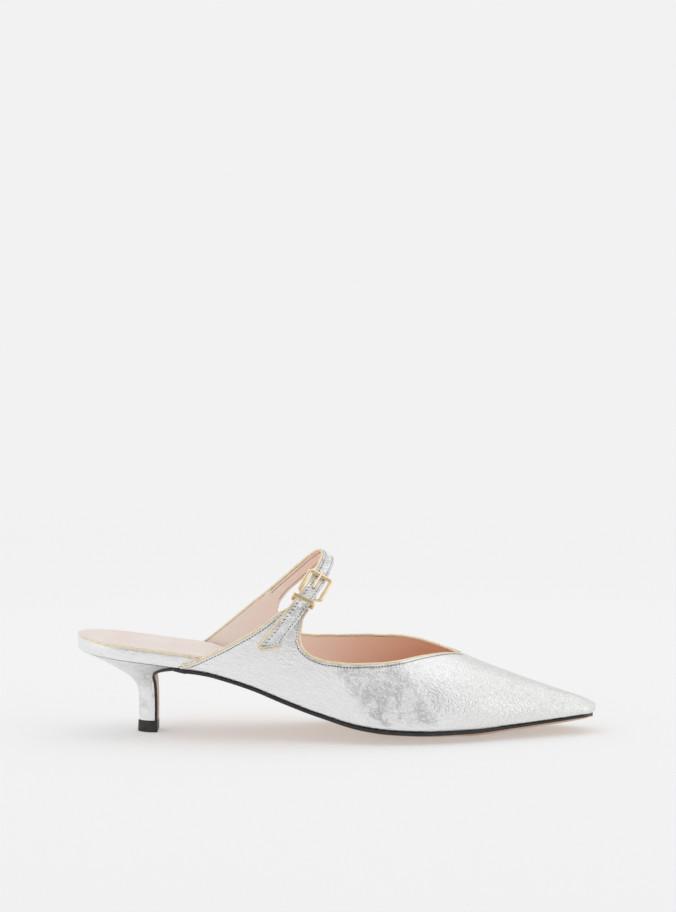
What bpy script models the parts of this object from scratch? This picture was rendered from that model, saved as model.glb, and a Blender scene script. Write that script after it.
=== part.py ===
"""Mule pump, right shoe: pointed toe, kitten heel, one buckled instep strap.

Metres, +Z up, +X from heel to toe, +Y to the wearer's left (the medial side of this right shoe).
The origin is the centre of the heel tip's flat face on the floor.

The shoe is worked out from a last. A point of the last is given by three values:
    at    station along the shoe, 0 at the back of the seat and 1 at the tip of the toe
    rise  share of the way up the section, 0 at the feather edge and 1 at the ridge
    side  LATERAL or MEDIAL
Every pattern line of the upper is a short table of (at, rise) rows on that surface.
"""

import math
from collections import namedtuple

import bmesh
import bpy
from mathutils import Matrix, Vector

# Driving sizes of the last and the bottom
LAST_LENGTH = 0.2668
BALL_WIDTH = 0.076
SEAT_RISE = 0.0440
TOE_LIFT = 0.0040
INSTEP_DEPTH = 0.0815
SEAT_OVERHANG = 0.0356
SIDE_BULGE = 0.0040
TREAD_CAMBER = 0.0042
SEAT_ROUND = 0.0269
TOE_ROUND = 0.0059

# Thicknesses and clearances
CLEAR = 0.0003
WALL = 0.0014
OUTSOLE_EDGE = 0.0019
FLAP_THICKNESS = 0.0011
SEAT_BOARD = 0.0065
FOREPART_BOARD = 0.0020
SOCK_THICKNESS = 0.0010
SOCK_INSET = 0.0012
SOLE_MARGIN = 0.0004

# Heel and its tip
TIP_HEIGHT = 0.0058
TIP_FLARE = 0.0003
STEM_LENGTH = 0.0086
STEM_SETBACK = 0.0001
STEM_WIDTH = 0.0118
SEAT_WIDTH = 0.0530
BREAST_REACH = 0.0155

# Strap, buckle and keeper
STRAP_WIDTH = 0.0068
STRAP_ROOT_WIDTH = 0.0092
STRAP_FLARE = 0.0160
SEAM_RUN = 0.0035
STRAP_TIP_WIDTH = 0.0075
TIP_SLANT = 0.0076
STRAP_THICKNESS = 0.0012
STRAP_HOLE = 0.0020
TAB_THIN = 0.0010
TAB_WIDTH = 0.0068
TAB_FOLD_BACK = 0.0014
SLOT_WIDTH = 0.0024
BUCKLE_LENGTH = 0.0150
BUCKLE_WIDTH = 0.0142
BUCKLE_SIDE = 0.0022
BUCKLE_BAR = 0.0012
BUCKLE_CORNER = 0.0025
BUCKLE_THICKNESS = 0.0013
BUCKLE_TILT = 0.0005
BUCKLE_TURN_DEG = 1.0
PRONG_DIAMETER = 0.0010
KEEPER_WIDTH = 0.0023
KEEPER_WIRE = 0.0009
KEEPER_SPAN = 0.0122
KEEPER_DISTANCE = 0.0107
KEEPER_SHIFT = 0.0006
KEEPER_TURN_DEG = 11.0
PIPING_DIAMETER = 0.0012

LATERAL = -1
MEDIAL = 1

# Heights that follow from the sizes above
BALL_RISE = CLEAR + OUTSOLE_EDGE + TREAD_CAMBER
BACK_X = -SEAT_OVERHANG

# The last, from the back of the seat to the tip of the toe. Columns:
#   at                station, share of LAST_LENGTH
#   lateral, medial   half widths of the bottom, shares of half BALL_WIDTH
#   seat, toe         lift of the feather edge, shares of SEAT_RISE above the ball and of TOE_LIFT
#   depth             height of the ridge over the feather edge, share of INSTEP_DEPTH
#   ridge             sideways place of the ridge, share of half BALL_WIDTH
#   wall, crown       how upright the side is and how broad the top is, shares of depth and width
#   camber, edge      roundness of the tread and edge of the sole, shares of TREAD_CAMBER, OUTSOLE_EDGE
Section = namedtuple("Section", "at lateral medial seat toe depth ridge wall crown camber edge")
LAST = (
    Section(0.000, 0.70, 0.70, 1.000, 0.00, 1.180, 0.00, 0.55, 0.35, 0.0, 0.85),
    Section(0.100, 0.70, 0.70, 0.900, 0.00, 1.165, 0.00, 0.55, 0.35, 0.0, 0.85),
    Section(0.190, 0.72, 0.68, 0.818, 0.00, 1.130, 0.02, 0.55, 0.35, 0.0, 0.85),
    Section(0.250, 0.73, 0.65, 0.762, 0.00, 1.105, 0.03, 0.56, 0.35, 0.2, 0.85),
    Section(0.300, 0.75, 0.62, 0.668, 0.00, 1.075, 0.05, 0.58, 0.35, 0.3, 0.85),
    Section(0.350, 0.77, 0.60, 0.548, 0.00, 1.045, 0.06, 0.59, 0.35, 0.4, 0.85),
    Section(0.400, 0.80, 0.60, 0.402, 0.00, 1.015, 0.08, 0.60, 0.35, 0.5, 0.88),
    Section(0.474, 0.87, 0.66, 0.215, 0.00, 0.958, 0.09, 0.60, 0.38, 0.7, 0.92),
    Section(0.550, 0.99, 0.80, 0.074, 0.00, 0.790, 0.08, 0.56, 0.42, 0.9, 1.00),
    Section(0.600, 1.02, 0.89, 0.027, 0.00, 0.655, 0.07, 0.53, 0.46, 1.0, 1.00),
    Section(0.680, 0.97, 0.98, 0.000, 0.00, 0.483, 0.06, 0.52, 0.54, 1.0, 1.00),
    Section(0.754, 0.83, 0.88, 0.000, 0.00, 0.380, 0.05, 0.52, 0.56, 1.0, 1.00),
    Section(0.842, 0.59, 0.65, 0.000, 0.27, 0.255, 0.03, 0.52, 0.56, 0.8, 0.80),
    Section(0.927, 0.36, 0.40, 0.000, 0.65, 0.140, 0.02, 0.52, 0.57, 0.6, 0.70),
    Section(0.980, 0.21, 0.24, 0.000, 0.90, 0.070, 0.01, 0.52, 0.58, 0.4, 0.62),
    Section(1.000, 0.15, 0.17, 0.000, 1.00, 0.035, 0.00, 0.52, 0.60, 0.3, 0.60),
)

# Pattern lines of the upper on the last, from back to front
Mark = namedtuple("Mark", "at rise")
QUARTER_END = 0.205
VAMP_POINT = 0.750
BACK_EDGE = {
    LATERAL: (Mark(0.205, 0.005), Mark(0.222, 0.016), Mark(0.274, 0.075), Mark(0.325, 0.156),
              Mark(0.366, 0.240), Mark(0.384, 0.290)),
    MEDIAL: (Mark(0.205, 0.009), Mark(0.239, 0.043), Mark(0.270, 0.098), Mark(0.315, 0.196),
             Mark(0.351, 0.290)),
}
THROAT = {
    LATERAL: (Mark(0.4265, 0.258), Mark(0.429, 0.230), Mark(0.438, 0.211), Mark(0.454, 0.199),
              Mark(0.473, 0.201), Mark(0.503, 0.227), Mark(0.543, 0.288), Mark(0.586, 0.377),
              Mark(0.624, 0.477), Mark(0.665, 0.628), Mark(0.708, 0.805), Mark(0.750, 1.000)),
    MEDIAL: (Mark(0.385, 0.269), Mark(0.388, 0.242), Mark(0.397, 0.220), Mark(0.411, 0.208),
             Mark(0.430, 0.207), Mark(0.450, 0.218), Mark(0.496, 0.267), Mark(0.542, 0.353),
             Mark(0.589, 0.471), Mark(0.642, 0.645), Mark(0.692, 0.834), Mark(0.750, 1.000)),
}

# The strap's centre line on the last, from the medial seam over the ridge to its lateral tip
Way = namedtuple("Way", "at rise side")
STRAP_WAY = (
    Way(0.368, 0.280, MEDIAL), Way(0.391, 0.374, MEDIAL), Way(0.422, 0.497, MEDIAL),
    Way(0.454, 0.670, MEDIAL), Way(0.476, 0.860, MEDIAL), Way(0.484, 0.900, LATERAL),
    Way(0.480, 0.760, LATERAL), Way(0.471, 0.642, LATERAL), Way(0.460, 0.548, LATERAL),
    Way(0.444, 0.452, LATERAL), Way(0.407, 0.288, LATERAL), Way(0.374, 0.166, LATERAL),
    Way(0.354, 0.110, LATERAL),
)
BUCKLE_AT = 8
TIP_DISTANCE = 0.0425
PRONG_HOLE = 0.0035

# The tab turns round the buckle's lower bar, and the strap climbs over that turn.
# Heights over the last: the buckle's own middle, and the turn's outer face
BAR_DISTANCE = BUCKLE_LENGTH / 2 - BUCKLE_BAR / 2
TURN_RADIUS = BUCKLE_BAR / 2 + CLEAR + TAB_THIN
BUCKLE_LIFT = CLEAR + TURN_RADIUS
TURN_TOP = CLEAR + 2 * TURN_RADIUS

# Lift of the strap's inner face at distances from the buckle's middle, towards the tip
Lift = namedtuple("Lift", "at lift")
STRAP_LIFT = (
    Lift(-0.0100, CLEAR),
    Lift(BUCKLE_SIDE + 0.0004 - BUCKLE_LENGTH / 2, CLEAR),
    Lift(BAR_DISTANCE - 0.0012, TURN_TOP + CLEAR),
    Lift(BAR_DISTANCE + TAB_FOLD_BACK, TURN_TOP + CLEAR),
    Lift(BAR_DISTANCE + 0.0080, WALL + 2 * CLEAR),
    Lift(TIP_DISTANCE, WALL + 2 * CLEAR),
)

# Mesh fineness
ROWS = 8
BACK_COLUMNS = 8
ROOT_COLUMNS = 5
THROAT_COLUMNS = 16
VAMP_COLUMNS = 13
TAB_ROWS = 9
TAB_BLEND = 0.54
TURN_STEPS = 7
ACROSS = 8
STRAP_STEPS = 60


def through(rows, column, at):
    """Smooth value of one column at a station, without overshoot between the rows."""
    xs = [row.at for row in rows]
    ys = [getattr(row, column) for row in rows]
    steps = [b - a for a, b in zip(xs, xs[1:])]
    slopes = [(d - c) / h for c, d, h in zip(ys, ys[1:], steps)]
    tangents = [slopes[0]]
    for i in range(1, len(slopes)):
        before, after = slopes[i - 1], slopes[i]
        if before * after <= 0:
            tangents.append(0.0)
        else:
            near = 2 * steps[i] + steps[i - 1]
            far = steps[i] + 2 * steps[i - 1]
            tangents.append((near + far) / (near / before + far / after))
    tangents.append(slopes[-1])
    at = min(max(at, xs[0]), xs[-1])
    i = max(k for k in range(len(steps)) if at >= xs[k])
    h = steps[i]
    s = (at - xs[i]) / h
    return (
        ys[i] * (1 + 2 * s) * (1 - s) ** 2
        + tangents[i] * h * s * (1 - s) ** 2
        + ys[i + 1] * s * s * (3 - 2 * s)
        + tangents[i + 1] * h * s * s * (s - 1)
    )


def end_round(at):
    """Share of the half width left where the outline rounds off at the seat and the toe."""
    seat = SEAT_ROUND / LAST_LENGTH
    toe = TOE_ROUND / LAST_LENGTH
    if at < seat:
        return math.sqrt(max(0.0, 1 - (1 - at / seat) ** 2))
    if at > 1 - toe:
        return math.sqrt(max(0.0, 1 - ((at - 1 + toe) / toe) ** 2))
    return 1.0


def last_x(at):
    return BACK_X + at * LAST_LENGTH


def station_of(x):
    return (x - BACK_X) / LAST_LENGTH


def half_width(at, side):
    column = "lateral" if side == LATERAL else "medial"
    return through(LAST, column, at) * BALL_WIDTH / 2 * end_round(at)


def feather(at):
    """Height of the feather edge, where upper, board and sole meet."""
    seat = (SEAT_RISE - BALL_RISE) * through(LAST, "seat", at)
    return BALL_RISE + seat + TOE_LIFT * through(LAST, "toe", at)


def camber(at, share):
    """How far the bottom sinks below the feather edge, at a share of the half width."""
    flat = 0.42
    out = max(0.0, (abs(share) - flat) / (1 - flat))
    return TREAD_CAMBER * through(LAST, "camber", at) * (1 - out * out * (3 - 2 * out))


def on_last(at, rise, side, grow=0.0):
    """Point of the last's surface, grown sideways and upwards by grow."""
    rounding = end_round(at)
    width = half_width(at, side) + grow * rounding
    low = feather(at)
    depth = INSTEP_DEPTH * through(LAST, "depth", at) + grow
    ridge = through(LAST, "ridge", at) * BALL_WIDTH / 2 * rounding
    bulge = SIDE_BULGE * rounding * min(1.0, depth / (INSTEP_DEPTH * 0.36))
    wall = through(LAST, "wall", at)
    crown = through(LAST, "crown", at)
    ends = (
        (side * width, low),
        (side * (width + bulge), low + wall * depth),
        (ridge + side * crown * width, low + depth),
        (ridge, low + depth),
    )
    back = 1 - rise
    weights = (back**3, 3 * rise * back**2, 3 * rise**2 * back, rise**3)
    y = sum(w * e[0] for w, e in zip(weights, ends))
    z = sum(w * e[1] for w, e in zip(weights, ends))
    return Vector((last_x(at), y, z))


def normal_on_last(at, rise, side):
    """Outward normal of the last's surface."""
    step = 0.002
    along = on_last(at + step, rise, side) - on_last(at - step, rise, side)
    up = on_last(at, min(rise + step, 1), side) - on_last(at, max(rise - step, 0), side)
    return (up.cross(along) * side).normalized()


# Objects and meshes

def clear_scene():
    for thing in list(bpy.data.objects):
        bpy.data.objects.remove(thing, do_unlink=True)


def collection(name):
    made = bpy.data.collections.new(name)
    bpy.context.scene.collection.children.link(made)
    return made


def material(name, colour, roughness, metallic=0.0):
    made = bpy.data.materials.new(name)
    made.use_nodes = True
    shader = made.node_tree.nodes["Principled BSDF"]
    shader.inputs["Base Color"].default_value = (*colour, 1.0)
    shader.inputs["Roughness"].default_value = roughness
    shader.inputs["Metallic"].default_value = metallic
    made.diffuse_color = (*colour, 1.0)
    return made


def add_object(name, mesh, finish, home):
    thing = bpy.data.objects.new(name, mesh)
    if finish:
        mesh.materials.append(finish)
    home.objects.link(thing)
    return thing


def mesh_from(name, points, faces, sharp_deg=40.0):
    """Mesh of listed points and faces, welded, with its faces turned outwards."""
    shape = bmesh.new()
    corners = [shape.verts.new(p) for p in points]
    for face in faces:
        if len(set(face)) > 2:
            shape.faces.new([corners[i] for i in face])
    bmesh.ops.remove_doubles(shape, verts=shape.verts, dist=0.00001)
    bmesh.ops.dissolve_degenerate(shape, edges=shape.edges, dist=0.000001)
    bmesh.ops.recalc_face_normals(shape, faces=shape.faces)
    mesh = bpy.data.meshes.new(name)
    shape.to_mesh(mesh)
    shape.free()
    mesh.shade_smooth()
    mesh.set_sharp_from_angle(angle=math.radians(sharp_deg))
    return mesh


def loft(name, rings):
    """Closed solid through rings of equally many points, capped by strips at both ends.

    Each ring runs across one face and back across the other, so that point k lies
    opposite point count - 1 - k.
    """
    count = len(rings[0])
    points = [p for ring in rings for p in ring]
    faces = []
    for i in range(len(rings) - 1):
        for k in range(count):
            nxt = (k + 1) % count
            faces.append((i * count + k, i * count + nxt, (i + 1) * count + nxt, (i + 1) * count + k))
    for start in (0, (len(rings) - 1) * count):
        for k in range(count // 2 - 1):
            faces.append((start + k, start + k + 1, start + count - 2 - k, start + count - 1 - k))
    return mesh_from(name, points, faces)


def shares(count):
    """Evenly spread shares across a slab, from the lateral edge to the medial edge."""
    return [-1 + 2 * k / count for k in range(count + 1)]


def spread(start, end, count, ease=0.0):
    """Stations from start to end, closer together towards the end as ease goes to 1."""
    made = []
    for k in range(count + 1):
        t = k / count
        bent = (1 - ease) * t + ease * math.sin(t * math.pi / 2)
        made.append(start + (end - start) * bent)
    return made


# Bottom pieces

def slab_ring(at, low, high, inset):
    """Ring of a slab that lies along the last's bottom between two heights over the feather edge."""
    under, over = [], []
    for share in shares(ACROSS):
        side = LATERAL if share < 0 else MEDIAL
        y = share * max(half_width(at, side) - inset * end_round(at), 0.0003)
        z = feather(at) - camber(at, share)
        under.append(Vector((last_x(at), y, z + low)))
        over.append(Vector((last_x(at), y, z + high)))
    return under + over[::-1]


def board_thickness(at):
    """Seat board over the heel, thinning to the forepart board in front of the arch."""
    full, thin = 0.24, 0.42
    t = min(max((at - full) / (thin - full), 0.0), 1.0)
    ease = t * t * (3 - 2 * t)
    return SEAT_BOARD + (FOREPART_BOARD - SEAT_BOARD) * ease


def bottom_stations(last_station):
    seat = SEAT_ROUND / LAST_LENGTH
    around_seat = [seat * (1 - math.cos(k / 7 * math.pi / 2)) for k in range(8)]
    around_seat[0] = seat * 0.006
    return around_seat + spread(seat, last_station, 24, 0.35)[1:]


def insole_board(finish, home):
    """Covered insole: the thick wrapped seat that shows behind the quarters, and a thin forepart."""
    rings = [slab_ring(at, 0.0, board_thickness(at), 0.0) for at in bottom_stations(0.972)]
    return add_object("insole_board", loft("insole_board", rings), finish, home)


def sock(finish, home):
    """Leather sock that covers the insole from seat to toe."""
    rings = []
    for at in bottom_stations(0.955):
        low = board_thickness(at) + CLEAR
        rings.append(slab_ring(at, low, low + SOCK_THICKNESS, SOCK_INSET))
    return add_object("sock", loft("sock", rings), finish, home)


# Heel. Columns, all shares of the way from the stem's foot to the seat:
#   back, front           places of the back and the breast
#   back_up, front_up     their heights
#   width                 half width
#   square                0 for an elliptic back, 1 for the seat's own outline
Level = namedtuple("Level", "back back_up front front_up width square")
HEEL = (
    Level(0.000, 0.000, 0.000, 0.000, 0.00, 0.0),
    Level(0.000, 0.184, 0.010, 0.228, 0.01, 0.0),
    Level(0.002, 0.362, 0.000, 0.460, 0.03, 0.0),
    Level(0.026, 0.463, -0.030, 0.630, 0.06, 0.0),
    Level(0.098, 0.556, -0.075, 0.738, 0.16, 0.0),
    Level(0.212, 0.641, -0.020, 0.820, 0.30, 0.1),
    Level(0.379, 0.726, 0.180, 0.890, 0.49, 0.3),
    Level(0.569, 0.822, 0.500, 0.944, 0.68, 0.5),
    Level(0.758, 0.910, 0.900, 0.982, 0.86, 0.8),
    Level(1.000, 1.000, 1.000, 1.000, 1.00, 1.0),
)
HEEL_AROUND = 17


def heel_level(level):
    """Back x, back z, front x, front z and half width of one level of the heel."""
    foot = TIP_HEIGHT + CLEAR
    back_seat = feather(0.0) - CLEAR
    front_seat = feather(station_of(BREAST_REACH)) - CLEAR
    stem_back = -STEM_LENGTH / 2 - STEM_SETBACK
    stem_front = STEM_LENGTH / 2 - STEM_SETBACK
    return (
        stem_back + (BACK_X - stem_back) * level.back,
        foot + (back_seat - foot) * level.back_up,
        stem_front + (BREAST_REACH - stem_front) * level.front,
        foot + (front_seat - foot) * level.front_up,
        STEM_WIDTH / 2 + (SEAT_WIDTH - STEM_WIDTH) / 2 * level.width,
    )


def heel_ring(level):
    """D-shaped ring: from the breast's lateral corner round the back to its medial corner."""
    back, back_z, front, front_z, half = heel_level(level)
    power = 2 / (2 + level.square)
    ring = []
    for k in range(HEEL_AROUND + 1):
        angle = math.pi * k / HEEL_AROUND
        reach = abs(math.sin(angle)) ** power
        side = LATERAL if angle < math.pi / 2 else MEDIAL
        x = front + (back - front) * reach
        y = half * abs(math.cos(angle)) ** power
        z = front_z + (back_z - front_z) * reach
        if level.square == 1.0:
            at = max(station_of(x), 0.0006)
            y = half_width(at, side)
            z = feather(at) - CLEAR
        ring.append(Vector((x, side * y, z)))
    return ring


def heel(finish, home):
    """Heel block covered in the upper's leather, from the seat down to the tip."""
    return add_object("heel", loft("heel", [heel_ring(level) for level in HEEL]), finish, home)


def heel_tip(finish, home):
    """Top piece of the heel, flush with the sole's flap in front."""
    half = STEM_WIDTH / 2
    rings = []
    for z, grow in ((0.0, TIP_FLARE * 2), (TIP_HEIGHT * 0.5, TIP_FLARE * 1.4), (TIP_HEIGHT, TIP_FLARE)):
        ring = []
        for k in range(HEEL_AROUND + 1):
            angle = math.pi * k / HEEL_AROUND
            front = STEM_LENGTH / 2 - STEM_SETBACK + CLEAR + FLAP_THICKNESS
            back = -STEM_LENGTH / 2 - STEM_SETBACK - grow
            x = front + (back - front) * math.sin(angle)
            ring.append(Vector((x, -(half + grow) * math.cos(angle), z)))
        rings.append(ring)
    return add_object("heel_tip", loft("heel_tip", rings), finish, home)


Rib = namedtuple("Rib", "x z lean lateral medial thick at")


def sole_ribs():
    """Cross sections of the outsole from the toe back to the arch and down the breast.

    lean is the angle of the sole's line in the side view, 0 where it lies flat.
    """
    covered = CLEAR + WALL + SOLE_MARGIN
    ribs = []
    for at in reversed(spread(0.215, 0.9985, 38, 0.3)):
        step = 0.004
        rise = feather(min(at + step, 1)) - feather(at - step)
        run = (min(at + step, 1) - (at - step)) * LAST_LENGTH
        rounding = end_round(at)
        ribs.append(Rib(last_x(at), feather(at) - CLEAR, math.atan2(rise, run),
                        half_width(at, LATERAL) + covered * rounding,
                        half_width(at, MEDIAL) + covered * rounding,
                        OUTSOLE_EDGE * through(LAST, "edge", at), at))
    levels = [heel_level(level) for level in reversed(HEEL)]
    points = [(front, front_z, half) for _, _, front, front_z, half in levels]
    for k, (x, z, half) in enumerate(points):
        ahead = points[max(k - 1, 0)]
        behind = points[min(k + 1, len(points) - 1)]
        lean = math.atan2(ahead[1] - behind[1], ahead[0] - behind[0])
        t = min(k / 3, 1.0)
        thick = OUTSOLE_EDGE * 0.85 * (1 - t) + FLAP_THICKNESS * t
        gap = CLEAR
        ribs.append(Rib(x + math.sin(lean) * gap, z - math.cos(lean) * gap, lean,
                        half, half, thick, 0.0))
    return ribs


def outsole(finish, home):
    """Outsole from toe to arch, which turns down at the heel and covers its breast."""
    rings = []
    for rib in sole_ribs():
        up = Vector((-math.sin(rib.lean), 0, math.cos(rib.lean)))
        over, under = [], []
        for share in shares(ACROSS):
            y = share * (rib.lateral if share < 0 else rib.medial)
            top = Vector((rib.x, y, rib.z)) - up * camber(rib.at, share)
            over.append(top)
            under.append(top - up * rib.thick)
        rings.append(over + under[::-1])
    return add_object("outsole", loft("outsole", rings), finish, home)


# Upper

def topline(at, side):
    """How high the upper's panel reaches at a station, as a share of the section."""
    if at >= VAMP_POINT:
        return 1.0
    back, throat = BACK_EDGE[side], THROAT[side]
    if at <= back[-1].at:
        return through(back, "rise", at)
    if at >= throat[0].at:
        return through(throat, "rise", at)
    share = (at - back[-1].at) / (throat[0].at - back[-1].at)
    return back[-1].rise + (throat[0].rise - back[-1].rise) * share


def panel_stations(side):
    root_back = BACK_EDGE[side][-1].at
    root_front = THROAT[side][0].at
    throat = [root_front + (VAMP_POINT - root_front) * (k / THROAT_COLUMNS) ** 1.5
              for k in range(THROAT_COLUMNS + 1)]
    return (
        spread(QUARTER_END, root_back, BACK_COLUMNS)
        + spread(root_back, root_front, ROOT_COLUMNS)[1:]
        + throat[1:]
        + spread(VAMP_POINT, 1.0, VAMP_COLUMNS, 0.75)[1:]
    )


def tab_rows(root):
    """Rows of the tab above its root: up the strap's lane, round the buckle's bar and back over it."""
    across = [TAB_WIDTH * (c / ROOT_COLUMNS - 0.5) for c in range(ROOT_COLUMNS + 1)]
    middle = (root[0] + root[-1]) / 2
    foot = min(LANE, key=lambda stop: (stop.spot - middle).length).distance
    local = [lane_frame(foot).inverted() @ p for p in root]
    rows = []
    for r in range(1, TAB_ROWS):
        t = r / TAB_ROWS
        ease = min(1.0, t / TAB_BLEND)
        ease = ease * ease * (3 - 2 * ease)
        frame = lane_frame(foot + (BAR_DISTANCE - foot) * t)
        rows.append([frame @ p.lerp(Vector((0, y, CLEAR)), ease) for p, y in zip(local, across)])
    path = [(0.0, CLEAR)]
    for k in range(1, TURN_STEPS + 1):
        angle = math.pi * k / TURN_STEPS
        path.append((-TURN_RADIUS * math.sin(angle), CLEAR + TURN_RADIUS * (1 - math.cos(angle))))
    path.append((TAB_FOLD_BACK, TURN_TOP))
    frame = buckle_place()
    for along, lift in path:
        rows.append([frame @ Vector((BAR_DISTANCE + along, y, lift)) for y in across])
    return rows


def upper(finish, home, tools):
    """Vamp and quarters as one hollow wall, with the lateral tab that carries the buckle."""
    points, faces, thin = [], [], []
    for side in (LATERAL, MEDIAL):
        stations = panel_stations(side)
        base = len(points)
        for at in stations:
            top = topline(at, side)
            for r in range(ROWS + 1):
                points.append(on_last(at, top * r / ROWS, side, CLEAR))
        for c in range(len(stations) - 1):
            for r in range(ROWS):
                a = base + c * (ROWS + 1) + r
                b = a + ROWS + 1
                faces.append((a, b, b + 1, a + 1))
        if side == LATERAL:
            below = [base + (BACK_COLUMNS + c) * (ROWS + 1) + ROWS for c in range(ROOT_COLUMNS + 1)]
            for row in tab_rows([points[i] for i in below]):
                above = list(range(len(points), len(points) + len(row)))
                points.extend(row)
                thin.extend(row)
                for c in range(ROOT_COLUMNS):
                    faces.append((below[c], below[c + 1], above[c + 1], above[c]))
                below = above
    mesh = mesh_from("upper", points, faces, 60.0)
    thing = add_object("upper", mesh, finish, home)
    outward_from(thing, Vector((last_x(0.8), 0, feather(0.8))))
    full = thing.vertex_groups.new(name="wall")
    for vertex in mesh.vertices:
        near = min((vertex.co - p).length for p in thin)
        full.add([vertex.index], TAB_THIN / WALL if near < 0.00005 else 1.0, "REPLACE")
    wall = thing.modifiers.new("wall", "SOLIDIFY")
    wall.thickness = WALL
    wall.offset = 1.0
    wall.use_even_offset = True
    wall.vertex_group = "wall"
    open_to = BUCKLE_BAR / 2 + 2 * CLEAR + PRONG_DIAMETER
    size = Vector((open_to + TURN_RADIUS + 0.001, SLOT_WIDTH, 2 * TURN_RADIUS + 0.001))
    middle = Vector((BAR_DISTANCE + open_to - size.x / 2, 0, BUCKLE_LIFT))
    cut(thing, block("slot", size, buckle_place() @ Matrix.Translation(middle), tools))
    return thing


def block(name, size, place, home):
    """Rectangular cutter of a size, at a place."""
    shape = bmesh.new()
    bmesh.ops.create_cube(shape, size=1.0, matrix=place @ Matrix.Diagonal((*size, 1.0)))
    mesh = bpy.data.meshes.new(name)
    shape.to_mesh(mesh)
    shape.free()
    return add_object(name, mesh, None, home)


def cut(thing, tool):
    """Takes a cutter away from a solid."""
    step = thing.modifiers.new("cut", "BOOLEAN")
    step.operation = "DIFFERENCE"
    step.solver = "EXACT"
    step.object = tool
    tool.hide_render = True


def outward_from(thing, inside):
    """Turns an open shell's faces so that they point away from a point inside it."""
    mesh = thing.data
    turn = sum((face.center - inside).dot(face.normal) * face.area for face in mesh.polygons)
    if turn < 0:
        mesh.flip_normals()


# Strap

def curve_through(values, i, f):
    """Smooth blend between values i and i + 1, at a share f of the way."""
    p0, p1 = values[max(i - 1, 0)], values[i]
    p2, p3 = values[i + 1], values[min(i + 2, len(values) - 1)]
    return 0.5 * (
        2 * p1
        + (p2 - p0) * f
        + (2 * p0 - 5 * p1 + 4 * p2 - p3) * f**2
        + (3 * p1 - p0 - 3 * p2 + p3) * f**3
    )


Stop = namedtuple("Stop", "distance spot normal")


def measure_lane():
    """Finely spaced stops along the strap's lane, measured from the buckle's middle."""
    spots = [on_last(way.at, way.rise, way.side) for way in STRAP_WAY]
    normals = [normal_on_last(way.at, way.rise, way.side) for way in STRAP_WAY]
    fine = 12
    stops, distance = [], 0.0
    zero = 0.0
    for i in range(len(STRAP_WAY) - 1):
        for k in range(fine + (i == len(STRAP_WAY) - 2)):
            spot = curve_through(spots, i, k / fine)
            normal = curve_through(normals, i, k / fine).normalized()
            if stops:
                distance += (spot - stops[-1].spot).length
            if i == BUCKLE_AT and k == 0:
                zero = distance
            stops.append(Stop(distance, spot, normal))
    return [Stop(stop.distance - zero, stop.spot, stop.normal) for stop in stops]


LANE = measure_lane()


def lane_frame(distance):
    """Matrix on the last at a distance: X along the strap to its tip, Y across, Z outwards."""
    i = max(k for k in range(len(LANE) - 1) if distance >= LANE[k].distance or k == 0)
    f = (distance - LANE[i].distance) / (LANE[i + 1].distance - LANE[i].distance)
    spot = LANE[i].spot.lerp(LANE[i + 1].spot, f)
    normal = LANE[i].normal.lerp(LANE[i + 1].normal, f).normalized()
    a, b = LANE[max(i - 3, 0)].spot, LANE[min(i + 4, len(LANE) - 1)].spot
    along = b - a
    along = (along - normal * along.dot(normal)).normalized()
    made = Matrix((along, normal.cross(along), normal)).transposed().to_4x4()
    made.translation = spot
    return made


def buckle_place():
    """The buckle's matrix: on the chord between its bars, upper bar a little raised, slightly turned."""
    upper_bar = lane_frame(-BAR_DISTANCE) @ Vector((0, 0, BUCKLE_TILT))
    lower_bar = lane_frame(BAR_DISTANCE).translation
    along = (lower_bar - upper_bar).normalized()
    normal = lane_frame(0.0).col[2].to_3d()
    normal = (normal - along * normal.dot(along)).normalized()
    made = Matrix((along, normal.cross(along), normal)).transposed().to_4x4()
    made.translation = (upper_bar + lower_bar) / 2
    return made @ Matrix.Rotation(math.radians(BUCKLE_TURN_DEG), 4, "Z")


def strap_lift(distance):
    return through(STRAP_LIFT, "lift", distance)


def strap_edges(distance):
    """Back and front edge of the strap across its lane: flared at the seam, slanted at the tip."""
    root = min((distance - LANE[0].distance) / STRAP_FLARE, 1.0)
    width = STRAP_WIDTH + (STRAP_ROOT_WIDTH - STRAP_WIDTH) * (1 - root) ** 2
    width += (STRAP_TIP_WIDTH - STRAP_WIDTH) * max(distance / TIP_DISTANCE, 0.0)
    left = min(max((TIP_DISTANCE - distance) / TIP_SLANT, 0.0), 1.0)
    share = 0.10 + 0.90 * left ** 0.85
    return -width / 2, -width / 2 + width * share


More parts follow.
